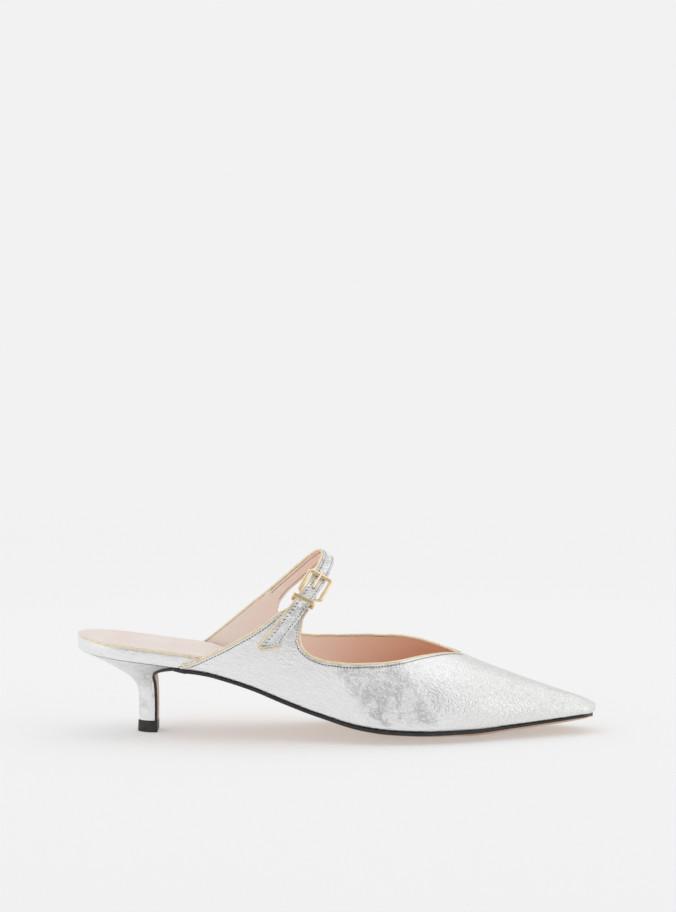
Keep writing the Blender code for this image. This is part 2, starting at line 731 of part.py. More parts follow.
def strap(finish, home, tools):
    """Instep strap, closed to the medial quarter and holed for the buckle's prong."""
    start = LANE[0].distance
    rings = [seam_ring(lane_frame(start))]
    for distance in spread(start + SEAM_RUN, TIP_DISTANCE, STRAP_STEPS):
        frame = lane_frame(distance)
        lift = strap_lift(distance)
        slope = math.atan2(strap_lift(distance + 0.0003) - strap_lift(distance - 0.0003), 0.0006)
        lean = STRAP_THICKNESS * Vector((-math.sin(slope), 0, math.cos(slope)))
        back, front = strap_edges(distance)
        low = [Vector((0, y, lift)) for y in (back, (back + front) / 2, front)]
        high = [p + lean for p in low]
        rings.append([frame @ p for p in low + high[::-1]])
    thing = add_object("strap", loft("strap", rings), finish, home)
    aside = PRONG_HOLE * math.sin(math.radians(BUCKLE_TURN_DEG))
    hole_at = lane_frame(PRONG_HOLE) @ Matrix.Translation((0, aside, 0))
    slope = math.atan2(strap_lift(PRONG_HOLE + 0.0003) - strap_lift(PRONG_HOLE - 0.0003), 0.0006)
    lean = Matrix.Rotation(-slope, 4, "Y")
    place = hole_at @ Matrix.Translation((0, 0, strap_lift(PRONG_HOLE) + STRAP_THICKNESS / 2)) @ lean
    shape = bmesh.new()
    bmesh.ops.create_cone(shape, cap_ends=True, segments=12, radius1=STRAP_HOLE / 2,
                          radius2=STRAP_HOLE / 2, depth=STRAP_THICKNESS * 3, matrix=place)
    mesh = bpy.data.meshes.new("hole")
    shape.to_mesh(mesh)
    shape.free()
    cut(thing, add_object("hole", mesh, None, tools))
    return thing


def seam_ring(frame):
    """First ring of the strap, a clearance above the medial quarter's root edge."""
    away = frame.to_3x3() @ Vector((1, 0, 0))
    back, front = BACK_EDGE[MEDIAL][-1], THROAT[MEDIAL][0]
    ends = []
    for mark in (back, front):
        inner = on_last(mark.at, mark.rise, MEDIAL, CLEAR) + away * CLEAR
        normal = normal_on_last(mark.at, mark.rise, MEDIAL)
        ends.append((inner, inner + normal * STRAP_THICKNESS))
    ends.sort(key=lambda pair: (frame.inverted() @ pair[0]).y)
    low = [ends[0][0], ends[0][0].lerp(ends[1][0], 0.5), ends[1][0]]
    high = [ends[0][1], ends[0][1].lerp(ends[1][1], 0.5), ends[1][1]]
    return low + high[::-1]


# Buckle, keeper and piping

def hoop(name, rings):
    """Closed solid through rings that run round in a circle."""
    count = len(rings[0])
    points = [p for ring in rings for p in ring]
    faces = []
    for i in range(len(rings)):
        for k in range(count):
            a, b = i * count, (i + 1) % len(rings) * count
            nxt = (k + 1) % count
            faces.append((a + k, a + nxt, b + nxt, b + k))
    return mesh_from(name, points, faces, 50.0)


def round_box(length, width, corner, steps):
    """Spots and outward directions round a rectangle with rounded corners, with its straights."""
    made = []
    for k, (sx, sy) in enumerate(((1, -1), (1, 1), (-1, 1), (-1, -1))):
        for j in range(steps + 1):
            angle = math.radians(-90 + 90 * k + 90 * j / steps)
            out = Vector((math.cos(angle), math.sin(angle), 0))
            middle = Vector((sx * (length / 2 - corner), sy * (width / 2 - corner), 0))
            made.append((middle + out * corner, out))
    return made


def buckle_frame(finish, home):
    """Rounded frame with broad sides and a slim lower bar inside the tab's turn."""
    place = buckle_place() @ Matrix.Translation((0, 0, BUCKLE_LIFT))
    rings = []
    bevel = BUCKLE_THICKNESS * 0.3
    for outer, out in round_box(BUCKLE_LENGTH, BUCKLE_WIDTH, BUCKLE_CORNER, 4):
        lower = out.x > 0.999
        wide = BUCKLE_BAR if lower else BUCKLE_SIDE
        thick = BUCKLE_BAR if lower else BUCKLE_THICKNESS
        top, edge = thick / 2, thick / 2 - bevel
        section = ((0, -edge), (0, edge), (-bevel, top), (-wide + bevel, top),
                   (-wide, edge), (-wide, -edge), (-wide + bevel, -top), (-bevel, -top))
        rings.append([place @ (outer + out * a + Vector((0, 0, b))) for a, b in section])
    return add_object("buckle_frame", hoop("buckle_frame", rings), finish, home)


def wire(name, path, diameter, finish, home, closed=False, resolution=1):
    """Round wire or bead along a path."""
    curve = bpy.data.curves.new(name, "CURVE")
    curve.dimensions = "3D"
    curve.bevel_depth = diameter / 2
    curve.bevel_resolution = resolution
    curve.use_fill_caps = not closed
    line = curve.splines.new("POLY")
    line.points.add(len(path) - 1)
    for point, spot in zip(line.points, path):
        point.co = (*spot, 1.0)
    line.use_cyclic_u = closed
    return add_object(name, curve, finish, home)


def buckle_prong(finish, home):
    """Prong hooked round the lower bar, up through the strap's hole and onto the upper bar."""
    frame = buckle_place()
    ring = BUCKLE_BAR / 2 + CLEAR + PRONG_DIAMETER / 2
    path = []
    for degrees in (-130, -90, -45, 0, 45, 90, 130):
        angle = math.radians(degrees)
        path.append((BAR_DISTANCE + ring * math.cos(angle), BUCKLE_LIFT + ring * math.sin(angle)))
    rest = BUCKLE_LIFT + BUCKLE_THICKNESS / 2 + CLEAR + PRONG_DIAMETER / 2
    through_strap = strap_lift(PRONG_HOLE)
    path += [
        (PRONG_HOLE + 0.0016, BUCKLE_LIFT),
        (PRONG_HOLE + 0.0007, BUCKLE_LIFT + 0.0002),
        (PRONG_HOLE + 0.0003, through_strap - 0.0008),
        (PRONG_HOLE - 0.0005, through_strap + STRAP_THICKNESS + 0.0002),
        (PRONG_HOLE - 0.0013, through_strap + STRAP_THICKNESS + 0.0007),
        (-BAR_DISTANCE + 0.0006, rest + BUCKLE_TILT / 2 + 0.0002),
        (-BAR_DISTANCE - 0.0006, rest),
    ]
    spots = [frame @ Vector((x, 0, z)) for x, z in path]
    return wire("buckle_prong", spots, PRONG_DIAMETER, finish, home)


def keeper(finish, home):
    """Flat metal loop round the strap and the tab under it."""
    aside = Matrix.Translation((0, -KEEPER_SHIFT, 0))
    frame = lane_frame(KEEPER_DISTANCE) @ aside @ Matrix.Rotation(math.radians(KEEPER_TURN_DEG), 4, "Z")
    low = -KEEPER_WIRE
    slack = strap_lift(KEEPER_DISTANCE - KEEPER_WIDTH / 2) + STRAP_THICKNESS * 1.15 + CLEAR
    tall = slack + KEEPER_WIRE - low
    rings = []
    for outer, out in round_box(tall, KEEPER_SPAN, KEEPER_WIRE * 1.1, 3):
        inner = outer - out * KEEPER_WIRE
        ring = []
        for spot, along in ((outer, -1), (outer, 1), (inner, 1), (inner, -1)):
            lift = spot.x + low + tall / 2
            ring.append(frame @ Vector((along * KEEPER_WIDTH / 2, spot.y, lift)))
        rings.append(ring)
    return add_object("keeper", hoop("keeper", rings), finish, home)


def edge_bead(at, side):
    """Middle of the piping above the upper's edge at a station."""
    rise = topline(at, side)
    base = on_last(at, rise, side, CLEAR)
    normal = normal_on_last(at, rise, side)
    step = 0.003
    ahead = on_last(at + step, topline(at + step, side), side, CLEAR)
    behind = on_last(at - step, topline(at - step, side), side, CLEAR)
    away = normal.cross(ahead - behind).normalized()
    if away.dot(on_last(at, rise, side) - on_last(at, rise - 0.01, side)) < 0:
        away = -away
    return base + normal * WALL / 2 + away * (CLEAR + PIPING_DIAMETER / 2)


def strap_bead(distance):
    """Middle of the piping along the strap's back edge."""
    back = strap_edges(distance)[0] - 1.6 * CLEAR - PIPING_DIAMETER / 2
    return lane_frame(distance) @ Vector((0, back, strap_lift(distance) + STRAP_THICKNESS / 2))


def pipings(finish, home):
    """Beads of piping: throat, both back edges, and the strap's back edge."""
    start = QUARTER_END + 0.006
    lateral_end = BACK_EDGE[LATERAL][-1].at - 0.004
    lateral = [edge_bead(at, LATERAL) for at in spread(start, lateral_end, 16)]
    wire("lateral_piping", lateral, PIPING_DIAMETER, finish, home)

    medial_end = BACK_EDGE[MEDIAL][-1].at - 0.004
    medial = [edge_bead(at, MEDIAL) for at in spread(start, medial_end, 14)]
    first = LANE[0].distance + SEAM_RUN
    last = -BUCKLE_LENGTH / 2 - 0.0015
    medial += [strap_bead(distance) for distance in spread(first, last, 34)]
    wire("medial_piping", medial, PIPING_DIAMETER, finish, home)

    below = KEEPER_DISTANCE + KEEPER_WIDTH / 2 + 0.0008
    lower = [strap_bead(distance) for distance in spread(below, TIP_DISTANCE, 12)]
    wire("strap_piping", lower, PIPING_DIAMETER, finish, home)

    point = VAMP_POINT - 0.007
    near = [edge_bead(at, LATERAL) for at in spread(THROAT[LATERAL][0].at + 0.004, point, 22)]
    far = [edge_bead(at, MEDIAL) for at in spread(THROAT[MEDIAL][0].at + 0.004, point, 22)]
    middle = on_last(VAMP_POINT - 0.0055, 1.0, MEDIAL, CLEAR + WALL / 2)
    wire("throat_piping", near + [middle] + far[::-1], PIPING_DIAMETER, finish, home)


def main():
    clear_scene()
    home = collection("mule_pump")
    tools = collection("cutters")
    silver = material("silver_leather", (0.80, 0.80, 0.81), 0.35, 0.85)
    lining = material("lining_leather", (0.86, 0.62, 0.52), 0.55)
    black = material("black_edge", (0.03, 0.03, 0.035), 0.45)
    tan = material("tan_sole", (0.78, 0.56, 0.42), 0.5)
    gold = material("gold_metal", (0.85, 0.66, 0.36), 0.25, 1.0)
    piping = material("gold_piping", (0.84, 0.70, 0.47), 0.45, 0.4)
    outsole(tan, home)
    insole_board(silver, home)
    sock(lining, home)
    heel(silver, home)
    heel_tip(black, home)
    upper(silver, home, tools)
    strap(silver, home, tools)
    buckle_frame(gold, home)
    buckle_prong(gold, home)
    keeper(gold, home)
    pipings(piping, home)


main()
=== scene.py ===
"""Looks of the mule pump: crinkled silver leather, gold buckle and binding, pink lining.

Metres, in the part's own frame: +X from heel to toe, +Y to the medial side, +Z up.
Every shape is worked out again, finer, from the last that the part is cut from. A spot on
the last is (at, rise, side): station from seat to toe, share of the way up the section, and
which side of the shoe.
"""

from __future__ import annotations

import logging
import math
from collections.abc import Callable, Sequence
from dataclasses import dataclass, field
from enum import Enum
from typing import Any

import bmesh
import bpy
import numpy as np
from mathutils import Matrix, Vector
from mathutils.bvhtree import BVHTree
from mathutils.kdtree import KDTree

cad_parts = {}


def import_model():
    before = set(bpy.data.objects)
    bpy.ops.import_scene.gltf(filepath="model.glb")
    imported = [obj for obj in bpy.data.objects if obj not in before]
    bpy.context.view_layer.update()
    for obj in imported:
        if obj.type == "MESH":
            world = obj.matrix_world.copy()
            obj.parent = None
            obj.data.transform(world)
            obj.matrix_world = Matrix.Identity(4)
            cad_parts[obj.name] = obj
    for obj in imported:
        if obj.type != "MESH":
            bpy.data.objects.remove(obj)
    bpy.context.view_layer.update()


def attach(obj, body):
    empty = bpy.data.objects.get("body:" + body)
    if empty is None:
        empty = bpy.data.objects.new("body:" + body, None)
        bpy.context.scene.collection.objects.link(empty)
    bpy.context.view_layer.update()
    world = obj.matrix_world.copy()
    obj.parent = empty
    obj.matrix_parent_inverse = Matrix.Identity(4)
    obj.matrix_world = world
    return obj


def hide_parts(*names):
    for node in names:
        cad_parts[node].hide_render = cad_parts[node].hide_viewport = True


LOG = logging.getLogger("mule_pump")
BODY = "root"

# Clearances and walls shared by the pieces, as in the part
CLEAR = 0.0003
WALL = 0.0014
FLAP = 0.0011

# How far rows of stitches lie inside an edge, on the upper, on its lining and on the strap
UPPER_MARGIN = 0.0010
LINING_MARGIN = 0.0015
STRAP_MARGIN = 0.0013


class Side(Enum):
    """Side of the shoe, as the sign of Y."""

    LATERAL = -1
    MEDIAL = 1


class Edge(Enum):
    """Edge of the upper's panel that a binding or a row of stitches follows."""

    BACK = "back"
    THROAT = "throat"


def ease(t: Any) -> Any:
    """Smooth step from 0 to 1."""
    t = np.clip(t, 0.0, 1.0)
    return t * t * (3 - 2 * t)


def spread(start: float, end: float, count: int, lean: float = 0.0) -> np.ndarray:
    """Evenly spaced values, closer together towards the end as lean goes to 1.

    Args:
        start: First value.
        end: Last value.
        count: Number of steps between them.
        lean: 0 for even steps, 1 for a quarter sine.

    Returns:
        count + 1 values.
    """
    t = np.linspace(0.0, 1.0, count + 1)
    return start + (end - start) * ((1 - lean) * t + lean * np.sin(t * math.pi / 2))


def unit(v: np.ndarray) -> np.ndarray:
    """Vectors of length 1 along the last axis."""
    return v / np.maximum(np.linalg.norm(v, axis=-1, keepdims=True), 1e-12)


def between(values: Any, i: int, f: float) -> Any:
    """Smooth blend between rows i and i + 1 of spots or values."""
    p0, p1 = values[max(i - 1, 0)], values[i]
    p2, p3 = values[i + 1], values[min(i + 2, len(values) - 1)]
    cubic = 3 * p1 - p0 - 3 * p2 + p3
    return 0.5 * (2 * p1 + (p2 - p0) * f + (2 * p0 - 5 * p1 + 4 * p2 - p3) * f**2 + cubic * f**3)


def bevel_drop(bevel: float, inside: float) -> float:
    """How far a round bevel lies below the face at a distance inside the edge."""
    return bevel - math.sqrt(max(bevel**2 - max(bevel - inside, 0.0) ** 2, 0.0))


def frame_from(along: Vector, normal: Vector, spot: Vector) -> Matrix:
    """Matrix on a spot, with X along and Z on the normal."""
    made = Matrix((along, normal.cross(along), normal)).transposed().to_4x4()
    made.translation = spot
    return made


@dataclass(frozen=True)
class Fair:
    """Fair curve through a table's rows, without overshoot between them."""

    xs: np.ndarray
    ys: np.ndarray
    slopes: np.ndarray

    @classmethod
    def through(cls, xs: Sequence[float], ys: Sequence[float]) -> Fair:
        """Works out the slopes once.

        Args:
            xs: Rising stations.
            ys: Values at the stations.

        Returns:
            The curve.
        """
        x, y = np.array(xs, float), np.array(ys, float)
        h = np.diff(x)
        d = np.diff(y) / h
        m = np.zeros_like(x)
        m[0], m[-1] = d[0], d[-1]
        for i in range(1, len(d)):
            if d[i - 1] * d[i] > 0:
                near, far = 2 * h[i] + h[i - 1], h[i] + 2 * h[i - 1]
                m[i] = (near + far) / (near / d[i - 1] + far / d[i])
        return cls(x, y, m)

    def __call__(self, at: Any) -> Any:
        """Values of the curve at one or many stations."""
        at = np.clip(at, self.xs[0], self.xs[-1])
        i = np.clip(np.searchsorted(self.xs, at, side="right") - 1, 0, len(self.xs) - 2)
        h = self.xs[i + 1] - self.xs[i]
        s = (at - self.xs[i]) / h
        return (
            self.ys[i] * (1 + 2 * s) * (1 - s) ** 2
            + self.slopes[i] * h * s * (1 - s) ** 2
            + self.ys[i + 1] * s * s * (3 - 2 * s)
            + self.slopes[i + 1] * h * s * s * (s - 1)
        )


LAST_COLUMNS = ("at", "lateral", "medial", "seat", "toe", "depth", "ridge", "wall", "crown", "camber", "edge")
LAST_TABLE = (
    (0.000, 0.70, 0.70, 1.000, 0.00, 1.180, 0.00, 0.55, 0.35, 0.0, 0.85),
    (0.100, 0.70, 0.70, 0.900, 0.00, 1.165, 0.00, 0.55, 0.35, 0.0, 0.85),
    (0.190, 0.72, 0.68, 0.818, 0.00, 1.130, 0.02, 0.55, 0.35, 0.0, 0.85),
    (0.250, 0.73, 0.65, 0.762, 0.00, 1.105, 0.03, 0.56, 0.35, 0.2, 0.85),
    (0.300, 0.75, 0.62, 0.668, 0.00, 1.075, 0.05, 0.58, 0.35, 0.3, 0.85),
    (0.350, 0.77, 0.60, 0.548, 0.00, 1.045, 0.06, 0.59, 0.35, 0.4, 0.85),
    (0.400, 0.80, 0.60, 0.402, 0.00, 1.015, 0.08, 0.60, 0.35, 0.5, 0.88),
    (0.474, 0.87, 0.66, 0.215, 0.00, 0.958, 0.09, 0.60, 0.38, 0.7, 0.92),
    (0.550, 0.99, 0.80, 0.074, 0.00, 0.790, 0.08, 0.56, 0.42, 0.9, 1.00),
    (0.600, 1.02, 0.89, 0.027, 0.00, 0.655, 0.07, 0.53, 0.46, 1.0, 1.00),
    (0.680, 0.97, 0.98, 0.000, 0.00, 0.483, 0.06, 0.52, 0.54, 1.0, 1.00),
    (0.754, 0.83, 0.88, 0.000, 0.00, 0.380, 0.05, 0.52, 0.56, 1.0, 1.00),
    (0.842, 0.59, 0.65, 0.000, 0.27, 0.255, 0.03, 0.52, 0.56, 0.8, 0.80),
    (0.927, 0.36, 0.40, 0.000, 0.65, 0.140, 0.02, 0.52, 0.57, 0.6, 0.70),
    (0.980, 0.21, 0.24, 0.000, 0.90, 0.070, 0.01, 0.52, 0.58, 0.4, 0.62),
    (1.000, 0.15, 0.17, 0.000, 1.00, 0.035, 0.00, 0.52, 0.60, 0.3, 0.60),
)


@dataclass
class Last:
    """The last: its sizes, and every spot and direction on its surface."""

    length: float = 0.2668
    ball_width: float = 0.076
    seat_rise: float = 0.0440
    toe_lift: float = 0.0040
    instep_depth: float = 0.0815
    back_x: float = -0.0356
    side_bulge: float = 0.0040
    tread_camber: float = 0.0042
    seat_round: float = 0.0269
    toe_round: float = 0.0059
    sole_edge: float = 0.0019
    tread_flat: float = 0.42
    full_bulge: float = 0.36
    columns: dict[str, Fair] = field(default_factory=dict)

    def __post_init__(self) -> None:
        """Reads the table's columns into fair curves."""
        rows = np.array(LAST_TABLE)
        for k, name in enumerate(LAST_COLUMNS[1:], 1):
            self.columns[name] = Fair.through(rows[:, 0], rows[:, k])
        self.ball_rise = CLEAR + self.sole_edge + self.tread_camber

    def column(self, name: str, at: Any) -> Any:
        """Value of one column of the table at a station."""
        return self.columns[name](at)

    def end_round(self, at: Any) -> Any:
        """Share of the half width left where the outline rounds off at seat and toe."""
        seat, toe = self.seat_round / self.length, self.toe_round / self.length
        back = np.sqrt(np.maximum(0.0, 1 - (1 - np.clip(at / seat, 0, 1)) ** 2))
        front = np.sqrt(np.maximum(0.0, 1 - np.clip((at - 1 + toe) / toe, 0, 1) ** 2))
        return back * front

    def x(self, at: Any) -> Any:
        """X of a station."""
        return self.back_x + at * self.length

    def station(self, x: Any) -> Any:
        """Station of an X."""
        return (x - self.back_x) / self.length

    def half_width(self, at: Any, side: Side) -> Any:
        """Half width of the bottom at a station."""
        return self.column(side.name.lower(), at) * self.ball_width / 2 * self.end_round(at)

    def feather(self, at: Any) -> Any:
        """Height of the feather edge, where upper, board and sole meet."""
        seat = (self.seat_rise - self.ball_rise) * self.column("seat", at)
        return self.ball_rise + seat + self.toe_lift * self.column("toe", at)

    def hollow(self, share: Any) -> Any:
        """Share of the camber at a share of the half width: 1 in the flat middle, 0 at the edge."""
        return 1 - ease((np.abs(share) - self.tread_flat) / (1 - self.tread_flat))

    def camber(self, at: Any, share: Any) -> Any:
        """How far the bottom sinks below the feather edge at a share of the half width."""
        return self.tread_camber * self.column("camber", at) * self.hollow(share)

    def spot(self, at: Any, rise: Any, side: Side, grow: float = 0.0) -> np.ndarray:
        """Spots on the last, grown sideways and upwards.

        Args:
            at: Stations.
            rise: Shares of the way up the section.
            side: Side of the shoe.
            grow: How far the surface stands off the last.

        Returns:
            Spots, with XYZ along the last axis.
        """
        at, rise = np.broadcast_arrays(np.asarray(at, float), np.asarray(rise, float))
        sign = side.value
        rounding = self.end_round(at)
        width = self.half_width(at, side) + grow * rounding
        low = self.feather(at)
        depth = self.instep_depth * self.column("depth", at) + grow
        ridge = self.column("ridge", at) * self.ball_width / 2 * rounding
        bulge = self.side_bulge * rounding * np.minimum(1.0, depth / (self.instep_depth * self.full_bulge))
        crown = self.column("crown", at)
        back = 1 - rise
        w0, w1, w2, w3 = back**3, 3 * rise * back**2, 3 * rise**2 * back, rise**3
        y = w0 * sign * width + w1 * sign * (width + bulge) + w2 * (ridge + sign * crown * width) + w3 * ridge
        z = low + w1 * self.column("wall", at) * depth + (w2 + w3) * depth
        return np.stack([self.x(at), y, z], axis=-1)

    def normal(self, at: Any, rise: Any, side: Side) -> np.ndarray:
        """Outward normals of the last."""
        step = 0.002
        along = self.spot(at + step, rise, side) - self.spot(at - step, rise, side)
        up = self.spot(at, np.minimum(rise + step, 1), side) - self.spot(at, np.maximum(rise - step, 0), side)
        return unit(np.cross(up, along) * side.value)


class Pattern:
    """Pattern lines of the upper on the last, as (at, rise) rows from back to front."""

    quarter_end = 0.205
    vamp_point = 0.750
    back = {
        Side.LATERAL: ((0.205, 0.005), (0.222, 0.016), (0.274, 0.075), (0.325, 0.156), (0.366, 0.240),
                       (0.384, 0.290)),
        Side.MEDIAL: ((0.205, 0.009), (0.239, 0.043), (0.270, 0.098), (0.315, 0.196), (0.351, 0.290)),
    }
    throat = {
        Side.LATERAL: ((0.4265, 0.258), (0.429, 0.230), (0.438, 0.211), (0.454, 0.199), (0.473, 0.201),
                       (0.503, 0.227), (0.543, 0.288), (0.586, 0.377), (0.624, 0.477), (0.665, 0.628),
                       (0.708, 0.805), (0.750, 1.000)),
        Side.MEDIAL: ((0.385, 0.269), (0.388, 0.242), (0.397, 0.220), (0.411, 0.208), (0.430, 0.207),
                      (0.450, 0.218), (0.496, 0.267), (0.542, 0.353), (0.589, 0.471), (0.642, 0.645),
                      (0.692, 0.834), (0.750, 1.000)),
    }

    def __init__(self) -> None:
        """Makes fair curves of the lines."""
        self.back_line = {side: Fair.through(*zip(*rows)) for side, rows in self.back.items()}
        self.throat_line = {side: Fair.through(*zip(*rows)) for side, rows in self.throat.items()}

    def root(self, side: Side) -> tuple[float, float]:
        """First and last station of the root, where strap or tab leaves the panel."""
        return self.back[side][-1][0], self.throat[side][0][0]

    def topline(self, at: Any, side: Side) -> np.ndarray:
        """How high the panel reaches at a station, as a share of the section."""
        at = np.asarray(at, float)
        (a0, r0), (a1, r1) = self.back[side][-1], self.throat[side][0]
        root = r0 + (r1 - r0) * (at - a0) / (a1 - a0)
        low = np.where(at <= a0, self.back_line[side](at), root)
        high = np.where(at >= a1, self.throat_line[side](at), low)
        return np.where(at >= self.vamp_point, 1.0, high)


@dataclass
class Lane:
    """The strap's lane over the instep, measured from the buckle's middle towards the tip."""

    last: Last
    pattern: Pattern
    strap_width: float = 0.0068
    strap_root_width: float = 0.0092
    strap_tip_width: float = 0.0075
    strap_flare: float = 0.0160
    seam_run: float = 0.0035
    tip_slant: float = 0.0076
    strap_thickness: float = 0.0012
    tip_distance: float = 0.0425
    tip_share: float = 0.10
    tip_curve: float = 0.85
    hole_distance: float = 0.0035
    climb_start: float = 0.0004
    fold_lead: float = 0.0012
    fold_settle: float = 0.0080
    tab_thin: float = 0.0010
    tab_fold_back: float = 0.0014
    buckle_length: float = 0.0150
    buckle_side: float = 0.0022
    buckle_bar: float = 0.0012
    buckle_tilt: float = 0.0005
    buckle_turn_deg: float = 1.0
    buckle_at: int = 8
    way: tuple[tuple[float, float, Side], ...] = (
        (0.368, 0.280, Side.MEDIAL), (0.391, 0.374, Side.MEDIAL), (0.422, 0.497, Side.MEDIAL),
        (0.454, 0.670, Side.MEDIAL), (0.476, 0.860, Side.MEDIAL), (0.484, 0.900, Side.LATERAL),
        (0.480, 0.760, Side.LATERAL), (0.471, 0.642, Side.LATERAL), (0.460, 0.548, Side.LATERAL),
        (0.444, 0.452, Side.LATERAL), (0.407, 0.288, Side.LATERAL), (0.374, 0.166, Side.LATERAL),
        (0.354, 0.110, Side.LATERAL),
    )

    def __post_init__(self) -> None:
        """Measures the lane finely, and works out where strap, bar and tab lie."""
        spots = [Vector(self.last.spot(a, r, s)) for a, r, s in self.way]
        normals = [Vector(self.last.normal(a, r, s)) for a, r, s in self.way]
        fine, distance, zero = 12, 0.0, 0.0
        stops: list[tuple[float, Vector, Vector]] = []
        for i in range(len(self.way) - 1):
            for k in range(fine + (i == len(self.way) - 2)):
                spot = between(spots, i, k / fine)
                if stops:
                    distance += (spot - stops[-1][1]).length
                if i == self.buckle_at and k == 0:
                    zero = distance
                stops.append((distance, spot, between(normals, i, k / fine).normalized()))
        self.stops = [(d - zero, spot, normal) for d, spot, normal in stops]
        self.start = self.stops[0][0]
        self.bar_distance = self.buckle_length / 2 - self.buckle_bar / 2
        self.turn_radius = self.buckle_bar / 2 + CLEAR + self.tab_thin
        self.buckle_lift = CLEAR + self.turn_radius
        self.turn_top = CLEAR + 2 * self.turn_radius
        rows = (
            (-self.buckle_length, CLEAR),
            (self.buckle_side + self.climb_start - self.buckle_length / 2, CLEAR),
            (self.bar_distance - self.fold_lead, self.turn_top + CLEAR),
            (self.bar_distance + self.tab_fold_back, self.turn_top + CLEAR),
            (self.bar_distance + self.fold_settle, WALL + 2 * CLEAR),
            (self.tip_distance, WALL + 2 * CLEAR),
        )
        self.lift = Fair.through(*zip(*rows))

    def frame(self, distance: float) -> Matrix:
        """Matrix on the last at a distance: X to the tip, Y across to the front edge, Z outwards."""
        stops = self.stops
        i = max(k for k in range(len(stops) - 1) if distance >= stops[k][0] or k == 0)
        f = (distance - stops[i][0]) / (stops[i + 1][0] - stops[i][0])
        spot = stops[i][1].lerp(stops[i + 1][1], f)
        normal = stops[i][2].lerp(stops[i + 1][2], f).normalized()
        top = len(stops) - 1
        behind = stops[max(i - 3, 0)][1].lerp(stops[max(i - 2, 0)][1], f)
        ahead = stops[min(i + 3, top)][1].lerp(stops[min(i + 4, top)][1], f)
        along = ahead - behind
        along = (along - normal * along.dot(normal)).normalized()
        return frame_from(along, normal, spot)

    def buckle_place(self) -> Matrix:
        """The buckle's matrix, on the chord between its bars and slightly turned."""
        upper = self.frame(-self.bar_distance) @ Vector((0, 0, self.buckle_tilt))
        lower = self.frame(self.bar_distance).translation
        along = (lower - upper).normalized()
        normal = self.frame(0.0).col[2].to_3d()
        normal = (normal - along * normal.dot(along)).normalized()
        turn = Matrix.Rotation(math.radians(self.buckle_turn_deg), 4, "Z")
        return frame_from(along, normal, (upper + lower) / 2) @ turn

    def slope(self, distance: float) -> float:
        """Angle at which the strap climbs at a distance."""
        step = 0.0003
        return math.atan2(float(self.lift(distance + step) - self.lift(distance - step)), 2 * step)

    def lean(self, distance: float) -> Vector:
        """Direction out of the strap's face at a distance, in the lane's frame there."""
        slope = self.slope(distance)
        return Vector((-math.sin(slope), 0, math.cos(slope)))

    def edges(self, distance: float) -> tuple[float, float]:
        """Back and front edge of the strap: flared at the seam, slanted at the tip."""
        root = min((distance - self.start) / self.strap_flare, 1.0)
        width = self.strap_width + (self.strap_root_width - self.strap_width) * (1 - root) ** 2
        width += (self.strap_tip_width - self.strap_width) * max(distance / self.tip_distance, 0.0)
        left = min(max((self.tip_distance - distance) / self.tip_slant, 0.0), 1.0)
        share = self.tip_share + (1 - self.tip_share) * left**self.tip_curve
        return -width / 2, -width / 2 + width * share


# Meshes

def put(name: str, data: Any) -> bpy.types.Object:
    """Object of a mesh, a lamp or a camera, linked to the scene."""
    thing = bpy.data.objects.new(name, data)
    bpy.context.scene.collection.objects.link(thing)
    return thing


def made_mesh(thing: bpy.types.Object) -> bpy.types.Mesh:
    """Plain mesh of an object with its modifiers run."""
    bpy.context.view_layer.update()
    graph = bpy.context.evaluated_depsgraph_get()
    ready = thing.evaluated_get(graph)
    return bpy.data.meshes.new_from_object(ready, preserve_all_data_layers=True, depsgraph=graph)


def face_outwards(thing: bpy.types.Object) -> None:
    """Welds doubles and turns the faces of a closed piece outwards."""
    shape = bmesh.new()
    shape.from_mesh(thing.data)
    bmesh.ops.remove_doubles(shape, verts=shape.verts, dist=0.000004)
    bmesh.ops.dissolve_degenerate(shape, edges=shape.edges, dist=0.000001)
    bmesh.ops.recalc_face_normals(shape, faces=shape.faces)
    shape.to_mesh(thing.data)
    shape.free()
    thing.data.update()


def ring_faces(rings: int, count: int, closed: bool = False) -> list[tuple[int, int, int, int]]:
    """Faces of a skin over rings of equally many points."""
    faces = []
    for i in range(rings if closed else rings - 1):
        a, b = i * count, (i + 1) % rings * count
        for k in range(count):
            nxt = (k + 1) % count
            faces.append((a + k, a + nxt, b + nxt, b + k))
    return faces


def cap_strip(start: int, count: int) -> list[tuple[int, int, int, int]]:
    """Cap of a ring that runs across one face and back across the other."""
    end = start + count - 1
    return [(start + k, start + k + 1, end - 1 - k, end - k) for k in range(count // 2 - 1)]


def object_from(name: str, points: np.ndarray | Sequence[Any], faces: Sequence[Sequence[int]],
                finishes: Sequence[bpy.types.Material], coats: Sequence[int] | None = None,
                sharp_deg: float = 42.0) -> bpy.types.Object:
    """Closed piece of listed points and faces, with its place in its mesh.

    Args:
        name: Name of the piece.
        points: Corners.
        faces: Corner numbers of each face.
        finishes: Materials of the piece.
        coats: Number of the material of each face.
        sharp_deg: Angle past which an edge is shaded sharp.

    Returns:
        The piece, linked to the scene, with its faces outwards.
    """
    mesh = bpy.data.meshes.new(name)
    mesh.from_pydata([tuple(p) for p in points], [], [tuple(f) for f in faces])
    for finish in finishes:
        mesh.materials.append(finish)
    if coats is not None:
        mesh.polygons.foreach_set("material_index", np.array(coats, np.int32))
    mesh.validate()
    mesh.shade_smooth()
    mesh.set_sharp_from_angle(angle=math.radians(sharp_deg))
    thing = put(name, mesh)
    face_outwards(thing)
    return thing


